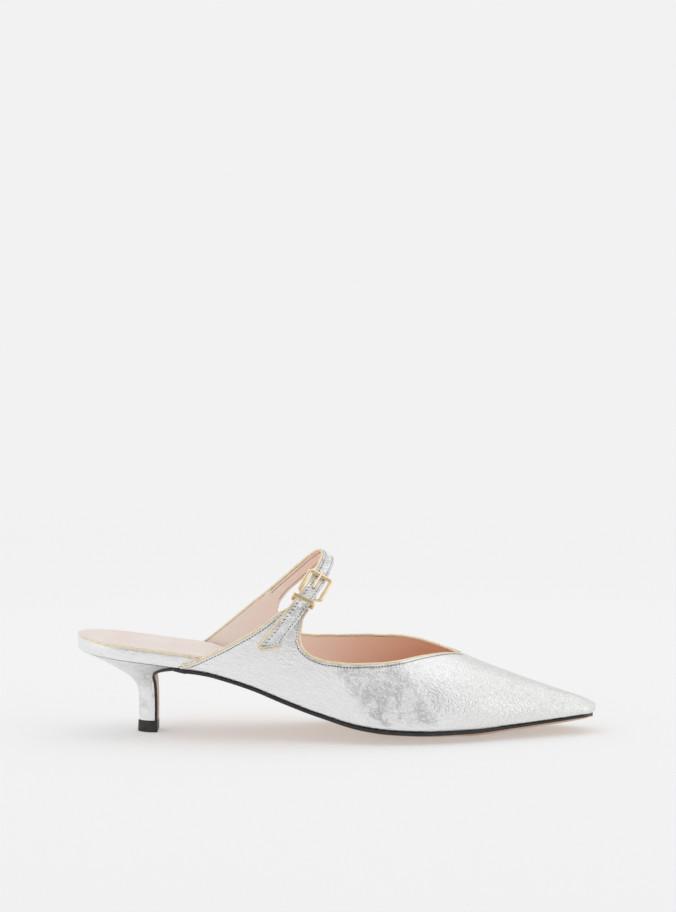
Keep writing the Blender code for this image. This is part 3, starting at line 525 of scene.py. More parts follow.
def skin_from(name: str, rings: Sequence[Any], finishes: Sequence[bpy.types.Material],
              coat: Callable[[int, int], int] | None = None, closed: bool = False,
              sharp_deg: float = 42.0) -> bpy.types.Object:
    """Closed piece skinned over rings of equally many points.

    Args:
        name: Name of the piece.
        rings: The rings.
        finishes: Its materials.
        coat: Gives the material's number from ring and place on the ring.
        closed: Whether the last ring joins the first, otherwise both get a cap.
        sharp_deg: Angle past which an edge is shaded sharp.

    Returns:
        The piece.
    """
    count = len(rings[0])
    faces = ring_faces(len(rings), count, closed)
    sides = len(faces)
    if not closed:
        faces += cap_strip(0, count) + cap_strip((len(rings) - 1) * count, count)
    coats = [coat(k // count, k % count) if coat and k < sides else 0 for k in range(len(faces))]
    return object_from(name, [p for ring in rings for p in ring], faces, finishes, coats, sharp_deg)


def settle(thing: bpy.types.Object, slot: str, *nodes: str) -> bpy.types.Object:
    """Rides a piece on the shoe's body, hides the nodes of the part that it replaces and logs its faces.

    Args:
        thing: The finished piece.
        slot: Material slot of the record, or an empty word; not used.
        nodes: Nodes of the part that it replaces.

    Returns:
        The same piece.
    """
    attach(thing, BODY)
    if nodes:
        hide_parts(*nodes)
    LOG.info("%s: %d faces", thing.name, len(thing.data.polygons))
    return thing


# Finishes

class Graph:
    """A node tree, with the nodes that materials, sweeps and the surround share."""

    def __init__(self, tree: bpy.types.NodeTree) -> None:
        """Keeps the tree."""
        self.tree = tree

    def add(self, kind: str, links: dict[Any, Any] | None = None, **values: Any) -> bpy.types.Node:
        """Adds a node.

        Args:
            kind: Blender's node type.
            links: Sockets or fixed values for the node's inputs, by name or number.
            values: Settings of the node itself.

        Returns:
            The node.
        """
        node = self.tree.nodes.new(kind)
        for key, value in values.items():
            setattr(node, key, value)
        for key, value in (links or {}).items():
            if isinstance(value, bpy.types.NodeSocket):
                self.tree.links.new(value, node.inputs[key])
            else:
                node.inputs[key].default_value = value
        return node

    def maths(self, operation: str, a: Any, b: Any = 0.0) -> Any:
        """Arithmetic on two values."""
        return self.add("ShaderNodeMath", {0: a, 1: b}, operation=operation).outputs[0]

    def vectors(self, operation: str, a: Any, b: Any) -> Any:
        """Arithmetic on two vectors."""
        return self.add("ShaderNodeVectorMath", {0: a, 1: b}, operation=operation).outputs[0]

    def scaled(self, vector: Any, amount: Any) -> Any:
        """Vector times an amount."""
        return self.add("ShaderNodeVectorMath", {0: vector, "Scale": amount}, operation="SCALE").outputs[0]

    def span(self, value: Any, low: float, high: float, to_low: float = 0.0, to_high: float = 1.0) -> Any:
        """Value moved from one range smoothly to another."""
        links = {"Value": value, "From Min": low, "From Max": high, "To Min": to_low, "To Max": to_high}
        return self.add("ShaderNodeMapRange", links, interpolation_type="SMOOTHSTEP").outputs["Result"]


class Nodes(Graph):
    """Builds one material's node tree."""

    def __init__(self, name: str) -> None:
        """Starts a material with only its shader and output."""
        self.material = bpy.data.materials.new(name)
        self.material.use_nodes = True
        super().__init__(self.material.node_tree)
        self.shader = self.tree.nodes["Principled BSDF"]
        self.place = self.add("ShaderNodeTexCoord").outputs["Object"]

    def noise(self, scale: float, detail: float = 3.0, rough: float = 0.55, place: Any = None) -> Any:
        """Cloudy value between 0 and 1 at a scale per metre."""
        links = {"Vector": place or self.place, "Scale": scale, "Detail": detail, "Roughness": rough}
        return self.add("ShaderNodeTexNoise", links).outputs["Fac"]

    def creases(self, scale: float, place: Any) -> Any:
        """Distance from the nearest border between cells at a scale per metre."""
        links = {"Vector": place, "Scale": scale}
        return self.add("ShaderNodeTexVoronoi", links, feature="DISTANCE_TO_EDGE").outputs["Distance"]

    def blend(self, share: Any, a: Any, b: Any) -> Any:
        """Colour between a and b."""
        node = self.add("ShaderNodeMix", {"Factor": share}, data_type="RGBA")
        for key, value in ((6, a), (7, b)):
            if isinstance(value, bpy.types.NodeSocket):
                self.tree.links.new(value, node.inputs[key])
            else:
                node.inputs[key].default_value = (*value, 1.0)
        return node.outputs[2]

    def bump(self, height: Any, depth: float, strength: float = 1.0, under: Any = None) -> Any:
        """Relief of a depth in metres, over another relief if one is given."""
        links = {"Height": height, "Distance": depth, "Strength": strength}
        if under is not None:
            links["Normal"] = under
        return self.add("ShaderNodeBump", links).outputs["Normal"]

    def finish(self, **inputs: Any) -> bpy.types.Material:
        """Sets the shader's sockets, named with underscores for spaces, and hands the material over."""
        for key, value in inputs.items():
            socket = self.shader.inputs[key.replace("_", " ")]
            if isinstance(value, bpy.types.NodeSocket):
                self.tree.links.new(value, socket)
            elif isinstance(value, tuple) and len(value) == 3:
                socket.default_value = (*value, 1.0)
            else:
                socket.default_value = value
        return self.material


@dataclass(frozen=True)
class SilverLeather:
    """Metallic silver leather, crinkled where the shoe bends and fine elsewhere, with painted shade in its
    creases and over the toe.
    """

    name: str = "silver_leather"
    bright: tuple[float, float, float] = (0.91, 0.91, 0.91)
    # Painted shade: the dull grey that creases and cracks are darkened towards.
    crease_shade_colour: tuple[float, float, float] = (0.42, 0.43, 0.43)
    # Painted shade: colour of the toe end, a little darker than the rest.
    toe: tuple[float, float, float] = (0.84, 0.84, 0.83)
    bend: tuple[float, float, float, float] = (0.101, 0.114, 0.131, 0.147)
    calm: float = 0.30
    depth: float = 1.0
    crease_scale: float = 560.0
    crack_scale: float = 1064.0
    fold_scale: float = 420.0
    fine_scale: float = 1700.0
    patch_scale: float = 130.0
    drift_scale: float = 240.0
    drift: float = 0.0035
    stretch: tuple[float, float, float] = (0.55, 1.0, 1.15)
    lean_deg: float = -35.0
    fold_depth: float = 0.0016
    crease_depth: float = 0.00035
    crack_depth: float = 0.00042
    grain_depth: float = 0.00008
    # Painted shade: how far broad creases and fine cracks are darkened.
    crease_shade_amount: float = 0.40
    crack_shade_amount: float = 0.34

    def material(self) -> bpy.types.Material:
        """The finish as a material."""
        n = Nodes(self.name)
        x, _, z = n.add("ShaderNodeSeparateXYZ", {0: n.place}).outputs
        start, full, fade, end = self.bend
        slant = n.maths("ADD", x, n.maths("MULTIPLY", n.maths("SUBTRACT", z, 0.025), 0.67))
        flex = n.maths("MULTIPLY", n.span(slant, start, full), n.span(slant, end, fade))
        flex = n.maths("MULTIPLY", flex, n.span(z, 0.008, 0.014))
        patches = n.span(n.noise(self.patch_scale, 2.0), 0.40, 0.60, 0.25 * self.depth, self.depth)
        flex = n.maths("MULTIPLY", flex, patches)
        force = n.maths("ADD", n.maths("MULTIPLY", flex, 1.0 - self.calm), self.calm)
        links = {"Vector": n.place, "Scale": self.drift_scale, "Detail": 2.0}
        drift = n.add("ShaderNodeTexNoise", links).outputs["Color"]
        place = n.vectors("ADD", n.place, n.scaled(drift, self.drift))
        links = {"Vector": place, "Angle": math.radians(self.lean_deg)}
        place = n.add("ShaderNodeVectorRotate", links, rotation_type="Y_AXIS").outputs[0]
        place = n.vectors("MULTIPLY", place, self.stretch)
        cells = n.creases(self.crease_scale, place)
        crease = n.maths("MULTIPLY", n.span(cells, 0.0, 0.20), force)
        small = n.creases(self.crack_scale, place)
        crack = n.maths("MULTIPLY", n.span(small, 0.0, 0.18), flex)
        folds = n.maths("MULTIPLY", n.noise(self.fold_scale, 3.0, 0.6, place), flex)
        relief = n.bump(folds, self.fold_depth, 0.9)
        relief = n.bump(crease, self.crease_depth, 0.8, relief)
        relief = n.bump(crack, self.crack_depth, 0.9, relief)
        relief = n.bump(n.noise(self.fine_scale, 4.0, 0.6), self.grain_depth, 0.5, relief)
        # Painted shade: broad creases darkened where the leather is forced, fine cracks where it flexes.
        crease_painted_shade = n.maths("MULTIPLY", n.span(cells, 0.09, 0.0), n.maths("MULTIPLY", force, self.crease_shade_amount))
        crack_painted_shade = n.maths("MULTIPLY", n.span(small, 0.12, 0.0), n.maths("MULTIPLY", flex, self.crack_shade_amount))
        # Painted shade: the silver turns slightly darker towards the toe.
        colour = n.blend(n.span(x, 0.13, 0.19), self.bright, self.toe)
        colour = n.blend(n.maths("ADD", crease_painted_shade, crack_painted_shade), colour, self.crease_shade_colour)
        rough = n.span(n.noise(60.0, 2.0), 0.3, 0.7, 0.30, 0.42)
        return n.finish(Base_Color=colour, Metallic=0.86, Roughness=rough, Normal=relief,
                        Specular_IOR_Level=0.5)


@dataclass(frozen=True)
class LiningLeather:
    """Smooth pink lining leather, deeper towards the toe."""

    pale: tuple[float, float, float] = (0.97, 0.88, 0.81)
    deep: tuple[float, float, float] = (0.97, 0.57, 0.40)

    def material(self) -> bpy.types.Material:
        """The finish as a material."""
        n = Nodes("lining_leather")
        x = n.add("ShaderNodeSeparateXYZ", {0: n.place}).outputs[0]
        cloud = n.noise(90.0, 3.0)
        along = n.maths("ADD", x, n.maths("MULTIPLY", cloud, 0.02))
        colour = n.blend(n.span(along, 0.04, 0.16), self.pale, self.deep)
        pores = n.noise(2600.0, 3.0)
        relief = n.bump(pores, 0.00008, 0.4)
        return n.finish(Base_Color=colour, Roughness=n.span(cloud, 0.3, 0.7, 0.46, 0.58), Normal=relief)


@dataclass(frozen=True)
class SockLeather:
    """Pale pink sock leather."""

    pale: tuple[float, float, float] = (0.88, 0.80, 0.755)
    warm: tuple[float, float, float] = (0.86, 0.74, 0.68)

    def material(self) -> bpy.types.Material:
        """The finish as a material."""
        n = Nodes("sock_leather")
        cloud = n.noise(45.0, 3.0)
        pores = n.noise(2400.0, 3.0)
        relief = n.bump(pores, 0.00008, 0.4)
        colour = n.blend(n.span(cloud, 0.35, 0.65), self.pale, self.warm)
        return n.finish(Base_Color=colour, Roughness=n.span(pores, 0.3, 0.7, 0.48, 0.6), Normal=relief)


@dataclass(frozen=True)
class TanSole:
    """Natural sole leather."""

    tan: tuple[float, float, float] = (0.72, 0.50, 0.36)
    brown: tuple[float, float, float] = (0.60, 0.39, 0.27)

    def material(self) -> bpy.types.Material:
        """The finish as a material."""
        n = Nodes("tan_sole")
        cloud = n.noise(70.0, 4.0)
        grain = n.noise(1800.0, 4.0)
        colour = n.blend(n.span(cloud, 0.3, 0.7), self.tan, self.brown)
        return n.finish(Base_Color=colour, Roughness=n.span(grain, 0.3, 0.7, 0.42, 0.6),
                        Normal=n.bump(grain, 0.0001, 0.4))


@dataclass(frozen=True)
class EdgeInk:
    """Black burnished ink of the sole's edge, or the rubber of the top piece."""

    name: str = "black_edge"
    colour: tuple[float, float, float] = (0.012, 0.012, 0.013)
    worn: tuple[float, float, float] = (0.03, 0.028, 0.027)
    gloss: float = 0.34

    def material(self) -> bpy.types.Material:
        """The finish as a material."""
        n = Nodes(self.name)
        cloud = n.noise(300.0, 3.0)
        grain = n.noise(2200.0, 3.0)
        colour = n.blend(n.span(cloud, 0.4, 0.7), self.colour, self.worn)
        return n.finish(Base_Color=colour, Roughness=n.span(grain, 0.3, 0.7, self.gloss, self.gloss + 0.14),
                        Normal=n.bump(grain, 0.00006, 0.4))


@dataclass(frozen=True)
class GoldMetal:
    """Polished pale gold plate."""

    bright: tuple[float, float, float] = (0.95, 0.82, 0.58)
    deep: tuple[float, float, float] = (0.88, 0.66, 0.36)

    def material(self) -> bpy.types.Material:
        """The finish as a material."""
        n = Nodes("gold_metal")
        cloud = n.noise(420.0, 3.0)
        colour = n.blend(n.span(cloud, 0.35, 0.7), self.bright, self.deep)
        return n.finish(Base_Color=colour, Metallic=1.0, Roughness=n.span(cloud, 0.3, 0.7, 0.28, 0.40),
                        Normal=n.bump(n.noise(3200.0, 2.0), 0.00003, 0.25))


@dataclass(frozen=True)
class BindingLeather:
    """Gold coated leather of the bindings."""

    cream: tuple[float, float, float] = (0.90, 0.79, 0.58)
    gold: tuple[float, float, float] = (0.74, 0.56, 0.30)

    def material(self) -> bpy.types.Material:
        """The finish as a material."""
        n = Nodes("binding_leather")
        wrinkle = n.noise(900.0, 3.0)
        colour = n.blend(n.span(wrinkle, 0.45, 0.75), self.cream, self.gold)
        return n.finish(Base_Color=colour, Metallic=0.45, Roughness=0.38, Normal=n.bump(wrinkle, 0.0001, 0.5))


@dataclass(frozen=True)
class Thread:
    """Sewing thread."""

    name: str = "thread_grey"
    colour: tuple[float, float, float] = (0.16, 0.17, 0.18)

    def material(self) -> bpy.types.Material:
        """The finish as a material."""
        n = Nodes(self.name)
        ply = n.noise(4000.0, 2.0)
        dark = tuple(c * 0.6 for c in self.colour)
        return n.finish(Base_Color=n.blend(ply, self.colour, dark), Roughness=0.6,
                        Normal=n.bump(ply, 0.00008, 0.6))


class Finishes:
    """All materials of the shoe."""

    def __init__(self) -> None:
        """Makes each material once."""
        everywhere = (-0.2, -0.1, 0.3, 0.4)
        self.silver = SilverLeather().material()
        self.strap = SilverLeather("strap_silver", bend=everywhere, depth=0.55).material()
        self.cover = SilverLeather("heel_silver", bend=everywhere, depth=0.35, lean_deg=-80.0).material()
        self.lining = LiningLeather().material()
        self.sock = SockLeather().material()
        self.tan = TanSole().material()
        self.ink = EdgeInk().material()
        self.rubber = EdgeInk("top_piece_rubber", gloss=0.42).material()
        self.gold = GoldMetal().material()
        self.binding = BindingLeather().material()
        self.thread = Thread().material()
        self.brown_thread = Thread("thread_brown", (0.22, 0.10, 0.05)).material()


# Repeats along a path, by Geometry Nodes

class Sweep(Graph):
    """Node tree that lays beads or stitches along a path."""

    def __init__(self, name: str, finish: bpy.types.Material) -> None:
        """Starts a tree with a geometry input and output, and keeps the piece's material."""
        super().__init__(bpy.data.node_groups.new(name, "GeometryNodeTree"))
        self.tree.interface.new_socket("Geometry", in_out="OUTPUT", socket_type="NodeSocketGeometry")
        self.tree.interface.new_socket("Geometry", in_out="INPUT", socket_type="NodeSocketGeometry")
        self.ins = self.tree.nodes.new("NodeGroupInput")
        self.out = self.tree.nodes.new("NodeGroupOutput")
        self.finish = finish
        self.values: dict[str, Any] = {}

    def size(self, name: str, value: Any, kind: str = "NodeSocketFloat") -> Any:
        """Adds a named input of the tree and keeps its value for the modifier."""
        socket = self.tree.interface.new_socket(name, in_out="INPUT", socket_type=kind)
        self.values[socket.identifier] = value
        return self.ins.outputs[name]

    def line(self, pitch: float) -> Any:
        """The path as a curve, with a spot at every pitch."""
        line = self.add("GeometryNodeMeshToCurve", {0: self.ins.outputs[0]}).outputs[0]
        links = {"Curve": line, "Length": self.size("Pitch", pitch)}
        return self.add("GeometryNodeResampleCurve", links, mode="LENGTH").outputs[0]

    def make(self, name: str, path: bpy.types.Object, shape: Any) -> bpy.types.Object:
        """Ends the tree, runs it on a path and keeps the result as a plain mesh.

        Args:
            name: Name of the new piece.
            path: The object that the tree starts from, removed afterwards.
            shape: Socket with the finished shape.

        Returns:
            The piece.
        """
        finish = self.size("Finish", self.finish, "NodeSocketMaterial")
        real = self.add("GeometryNodeRealizeInstances", {0: shape}).outputs[0]
        coat = self.add("GeometryNodeSetMaterial", {"Geometry": real, "Material": finish}).outputs[0]
        self.tree.links.new(coat, self.out.inputs[0])
        step = path.modifiers.new("along", "NODES")
        step.node_group = self.tree
        for key, value in self.values.items():
            step[key] = value
        mesh = made_mesh(path)
        mesh.name = name
        path.modifiers.remove(step)
        bpy.data.objects.remove(path, do_unlink=True)
        return put(name, mesh)


def path_object(name: str, spots: Sequence[Any], outs: Sequence[Any]) -> bpy.types.Object:
    """Line of corners with the outward direction stored at each.

    Args:
        name: Name for the line.
        spots: Corners in order.
        outs: Outward direction at each corner.

    Returns:
        The object, linked to the scene.
    """
    mesh = bpy.data.meshes.new(name)
    mesh.from_pydata([tuple(p) for p in spots], [(k, k + 1) for k in range(len(spots) - 1)], [])
    layer = mesh.attributes.new("out", "FLOAT_VECTOR", "POINT")
    layer.data.foreach_set("vector", np.array([tuple(v) for v in outs], np.float32).ravel())
    return put(name, mesh)


@dataclass
class Bead:
    """Round binding along a path."""

    diameter: float
    finish: bpy.types.Material
    pitch: float = 0.0006
    sides: int = 14
    wobble: float = 0.00006
    wobble_scale: float = 700.0

    def lay(self, name: str, spots: Sequence[Any]) -> bpy.types.Object:
        """Lays the bead.

        Args:
            name: Name of the piece.
            spots: Corners of its middle line.

        Returns:
            The piece.
        """
        path = path_object(name + "_path", spots, [(0, 0, 1)] * len(spots))
        s = Sweep(name + "_tree", self.finish)
        line = s.line(self.pitch)
        links = {"Resolution": self.sides, "Radius": s.size("Radius", self.diameter / 2)}
        ring = s.add("GeometryNodeCurvePrimitiveCircle", links).outputs[0]
        links = {"Curve": line, "Profile Curve": ring, "Fill Caps": True}
        skin = s.add("GeometryNodeCurveToMesh", links).outputs[0]
        noise = s.add("ShaderNodeTexNoise", {"Scale": self.wobble_scale, "Detail": 2.0}).outputs["Fac"]
        amount = s.maths("MULTIPLY", s.maths("SUBTRACT", noise, 0.5), s.size("Wobble", self.wobble))
        shift = s.scaled(s.add("GeometryNodeInputNormal").outputs[0], amount)
        skin = s.add("GeometryNodeSetPosition", {"Geometry": skin, "Offset": shift}).outputs[0]
        skin = s.add("GeometryNodeSetShadeSmooth", {0: skin}).outputs[0]
        return s.make(name, path, skin)


@dataclass
class StitchRow:
    """Row of stitches along a path."""

    finish: bpy.types.Material
    pitch: float = 0.0016
    length: float = 0.0010
    width: float = 0.00040
    rise: float = 0.00022
    slant_deg: float = 0.0
    jitter: float = 0.07
    seed: int = 7

    def sew(self, name: str, spots: Sequence[Any], outs: Sequence[Any]) -> bpy.types.Object:
        """Sews the row.

        Args:
            name: Name of the piece.
            spots: Corners of the seam, on the leather's face.
            outs: Outward directions there.

        Returns:
            The piece.
        """
        path = path_object(name + "_path", spots, outs)
        s = Sweep(name + "_tree", self.finish)
        line = s.line(self.pitch)
        tangent = s.add("GeometryNodeInputTangent").outputs[0]
        links = {"Name": "out"}
        out = s.add("GeometryNodeInputNamedAttribute", links, data_type="FLOAT_VECTOR").outputs[0]
        turn = s.add("FunctionNodeAlignRotationToVector", {"Vector": out}, axis="Z").outputs[0]
        links = {"Rotation": turn, "Vector": tangent}
        turn = s.add("FunctionNodeAlignRotationToVector", links, axis="X", pivot_axis="Z").outputs[0]
        links = {2: -self.jitter, 3: self.jitter, "Seed": s.size("Seed", self.seed, "NodeSocketInt")}
        jitter = s.add("FunctionNodeRandomValue", links, data_type="FLOAT").outputs[1]
        slant = s.maths("ADD", jitter, s.size("Slant", math.radians(self.slant_deg)))
        lean = s.add("ShaderNodeCombineXYZ", {2: slant}).outputs[0]
        links = {"Rotation": turn, "Rotate By": s.add("FunctionNodeEulerToRotation", {0: lean}).outputs[0]}
        turn = s.add("FunctionNodeRotateRotation", links, rotation_space="LOCAL").outputs[0]
        ball = s.add("GeometryNodeMeshUVSphere", {"Segments": 8, "Rings": 5, "Radius": 0.5}).outputs["Mesh"]
        sizes = (("Length", self.length), ("Width", self.width), ("Rise", self.rise))
        links = {k: s.size(word, value) for k, (word, value) in enumerate(sizes)}
        size = s.add("ShaderNodeCombineXYZ", links).outputs[0]
        links = {"Points": line, "Instance": ball, "Rotation": turn, "Scale": size}
        row = s.add("GeometryNodeInstanceOnPoints", links).outputs[0]
        row = s.add("GeometryNodeSetShadeSmooth", {0: row}).outputs[0]
        return s.make(name, path, row)


# Sub-assemblies

@dataclass
class Upper:
    """Vamp and quarters as one hollow wall, with the tab that carries the buckle."""

    last: Last
    pattern: Pattern
    lane: Lane
    rows: int = 46
    back_columns: int = 60
    root_columns: int = 24
    throat_columns: int = 110
    vamp_columns: int = 80
    tab_rows: int = 40
    tab_blend: float = 0.54
    tab_width: float = 0.0068
    slot_width: float = 0.0024
    turn_steps: int = 14
    tuck: float = 0.00055
    tuck_height: float = 0.0011
    furrow: float = 0.00013
    furrow_width: float = 0.00030
    fold: float = 0.00035
    fold_width: float = 0.0005

    def stations(self, side: Side) -> np.ndarray:
        """Stations of the panel's columns on one side."""
        back, front = self.pattern.root(side)
        end, point = self.pattern.quarter_end, self.pattern.vamp_point
        throat = front + (point - front) * np.linspace(0, 1, self.throat_columns + 1) ** 1.5
        return np.concatenate([
            spread(end, back, self.back_columns),
            spread(back, front, self.root_columns)[1:],
            throat[1:],
            spread(point, 1.0, self.vamp_columns, 0.75)[1:],
        ])

    def tab(self, root: Sequence[Vector]) -> list[list[Vector]]:
        """Rows of the tab above its root, up the lane and round the buckle's bar.

        Args:
            root: Spots of the panel's edge under the tab.

        Returns:
            Rows of spots on the inner face.
        """
        count = self.root_columns
        across = [self.tab_width * (c / count - 0.5) for c in range(count + 1)]
        middle = (root[0] + root[-1]) / 2
        foot = min(self.lane.stops, key=lambda stop: (stop[1] - middle).length)[0]
        back = self.lane.frame(foot).inverted()
        local = [back @ p for p in root]
        rows = []
        bar = self.lane.bar_distance
        for r in range(1, self.tab_rows):
            t = r / self.tab_rows
            share = float(ease(t / self.tab_blend))
            frame = self.lane.frame(foot + (bar - foot) * t)
            rows.append([frame @ p.lerp(Vector((0, y, CLEAR)), share) for p, y in zip(local, across)])
        radius = self.lane.turn_radius
        path = [(0.0, CLEAR)]
        for k in range(1, self.turn_steps + 1):
            angle = math.pi * k / self.turn_steps
            path.append((-radius * math.sin(angle), CLEAR + radius * (1 - math.cos(angle))))
        path.append((self.lane.tab_fold_back, self.lane.turn_top))
        frame = self.lane.buckle_place()
        for along, lift in path:
            rows.append([frame @ Vector((bar + along, y, lift)) for y in across])
        return rows

    def sheet(self) -> tuple[np.ndarray, list[tuple[int, ...]], np.ndarray]:
        """Inner face of the panel and its tab, as one open sheet.

        Returns:
            Spots, faces, and the share of the full wall at each spot.
        """
        points: list[np.ndarray] = []
        walls: list[np.ndarray] = []
        faces: list[tuple[int, ...]] = []
        base = 0
        for side in Side:
            at = self.stations(side)
            rows = np.linspace(0, 1, self.rows + 1)
            rise = self.pattern.topline(at, side)[:, None] * rows[None, :]
            grid = self.last.spot(at[:, None], rise, side, CLEAR)
            points.append(grid.reshape(-1, 3))
            walls.append(np.ones(grid.shape[0] * grid.shape[1]))
            step = self.rows + 1
            for c in range(len(at) - 1):
                for r in range(self.rows):
                    a = base + c * step + r
                    quad = (a, a + step, a + step + 1, a + 1)
                    faces.append(quad if side is Side.LATERAL else quad[::-1])
            if side is Side.LATERAL:
                columns = range(self.back_columns, self.back_columns + self.root_columns + 1)
                below = [base + c * step + self.rows for c in columns]
                root = [Vector(grid[c, self.rows]) for c in columns]
                base += len(points[-1])
                for number, row in enumerate(self.tab(root)):
                    above = list(range(base, base + len(row)))
                    points.append(np.array([tuple(p) for p in row]))
                    thin = float(ease(number / self.tab_rows / 0.5))
                    walls.append(np.full(len(row), 1 + (self.lane.tab_thin / WALL - 1) * thin))
                    half = self.slot_width / 2
                    for c in range(self.root_columns):
                        y = abs((c + 0.5) / self.root_columns - 0.5) * self.tab_width
                        if number < self.tab_rows + 1 or y > half:
                            faces.append((below[c], below[c + 1], above[c + 1], above[c]))
                    below = above
                    base += len(row)
            else:
                base += len(points[-1])
        return np.concatenate(points), faces, np.concatenate(walls)

    def tab_side(self, front: bool) -> list[tuple[Vector, Vector, Vector]]:
        """Spots up one side of the tab, with their outward and sideways directions."""
        at = self.stations(Side.LATERAL)[self.back_columns:self.back_columns + self.root_columns + 1]
        rise = self.pattern.topline(at, Side.LATERAL)
        root = [Vector(p) for p in self.last.spot(at, rise, Side.LATERAL, CLEAR)]
        rows = [root] + self.tab(root)[:self.tab_rows - 1]
        edge, inner = (-1, -2) if front else (0, 1)
        made = []
        for k, row in enumerate(rows):
            along = rows[min(k + 1, len(rows) - 1)][edge] - rows[max(k - 1, 0)][edge]
            aside = row[edge] - row[inner]
            aside = (aside - along * aside.dot(along) / along.length_squared).normalized()
            out = along.cross(aside).normalized()
            made.append((row[edge], out if out.y < 0 else -out, aside))
        return made

    def rim_spots(self) -> np.ndarray:
        """Spots along both back edges and the throat, to measure how near the edge a spot lies."""
        made = []
        for side in Side:
            back, front = self.pattern.root(side)
            for a, b in ((self.pattern.quarter_end, back), (front, self.pattern.vamp_point)):
                at = np.linspace(a, b, 500)
                made.append(self.last.spot(at, self.pattern.topline(at, side), side, CLEAR))
        return np.concatenate(made)

    def build(self, coats: Finishes) -> bpy.types.Object:
        """Builds the hollow wall, silver outside and lined inside.

        Args:
            coats: The shoe's materials.

        Returns:
            The piece.
        """
        points, faces, walls = self.sheet()
        shape = bmesh.new()
        wall_layer = shape.verts.layers.float.new("wall")
        corners = [shape.verts.new(p) for p in points]
        for corner, wall in zip(corners, walls):
            corner[wall_layer] = wall
        for face in faces:
            shape.faces.new([corners[i] for i in face])
        bmesh.ops.remove_doubles(shape, verts=shape.verts, dist=0.000006)
        bmesh.ops.dissolve_degenerate(shape, edges=shape.edges, dist=0.000001)
        loose = [v for v in shape.verts if not v.link_faces]
        bmesh.ops.delete(shape, geom=loose, context="VERTS")
        bmesh.ops.recalc_face_normals(shape, faces=shape.faces)
        middle = Vector((self.last.x(0.8), 0, self.last.feather(0.8)))
        if sum((f.calc_center_median() - middle).dot(f.normal) * f.calc_area() for f in shape.faces) < 0:
            bmesh.ops.reverse_faces(shape, faces=shape.faces)
        shape.normal_update()
        shape.verts.ensure_lookup_table()
        shape.verts.index_update()
        rim = self.rim_spots()
        tree = KDTree(len(rim))
        for k, p in enumerate(rim):
            tree.insert(p, k)
        tree.balance()
        inner = np.array([tuple(v.co) for v in shape.verts])
        normals = np.array([tuple(v.normal) for v in shape.verts])
        share = np.array([v[wall_layer] for v in shape.verts])
        edge = np.array([tree.find(v.co)[2] for v in shape.verts])
        low = inner[:, 2] - self.last.feather(np.clip(self.last.station(inner[:, 0]), 0, 1))
        tuck = self.tuck * np.clip(1 - low / self.tuck_height, 0, 1) ** 2
        furrow = self.furrow * np.exp(-(((edge - UPPER_MARGIN) / self.furrow_width) ** 2))
        fold = self.fold * np.clip(1 - edge / self.fold_width, 0, 1) ** 2
        outer = inner + normals * (WALL * share - tuck - furrow - fold)[:, None]
        count = len(inner)
        skins, kinds = [], []
        for face in shape.faces:
            ring = [v.index for v in face.verts]
            skins.append([i + count for i in ring])
            kinds.append(0)
            skins.append(ring[::-1])
            kinds.append(1)
        for side in shape.edges:
            if len(side.link_faces) == 1:
                loop = side.link_loops[0]
                a, b = loop.vert.index, loop.link_loop_next.vert.index
                skins.append([b, a, a + count, b + count][::-1])
                kinds.append(0)
        shape.free()
        both = np.concatenate([inner, outer])
        outside = [[i - count for i in s] for s, k in zip(skins, kinds) if k == 0 and min(s) >= count]
        self.skin = BVHTree.FromPolygons([tuple(p) for p in outer], outside)
        return object_from("upper_leather", both, skins, [coats.silver, coats.lining], kinds, 60.0)


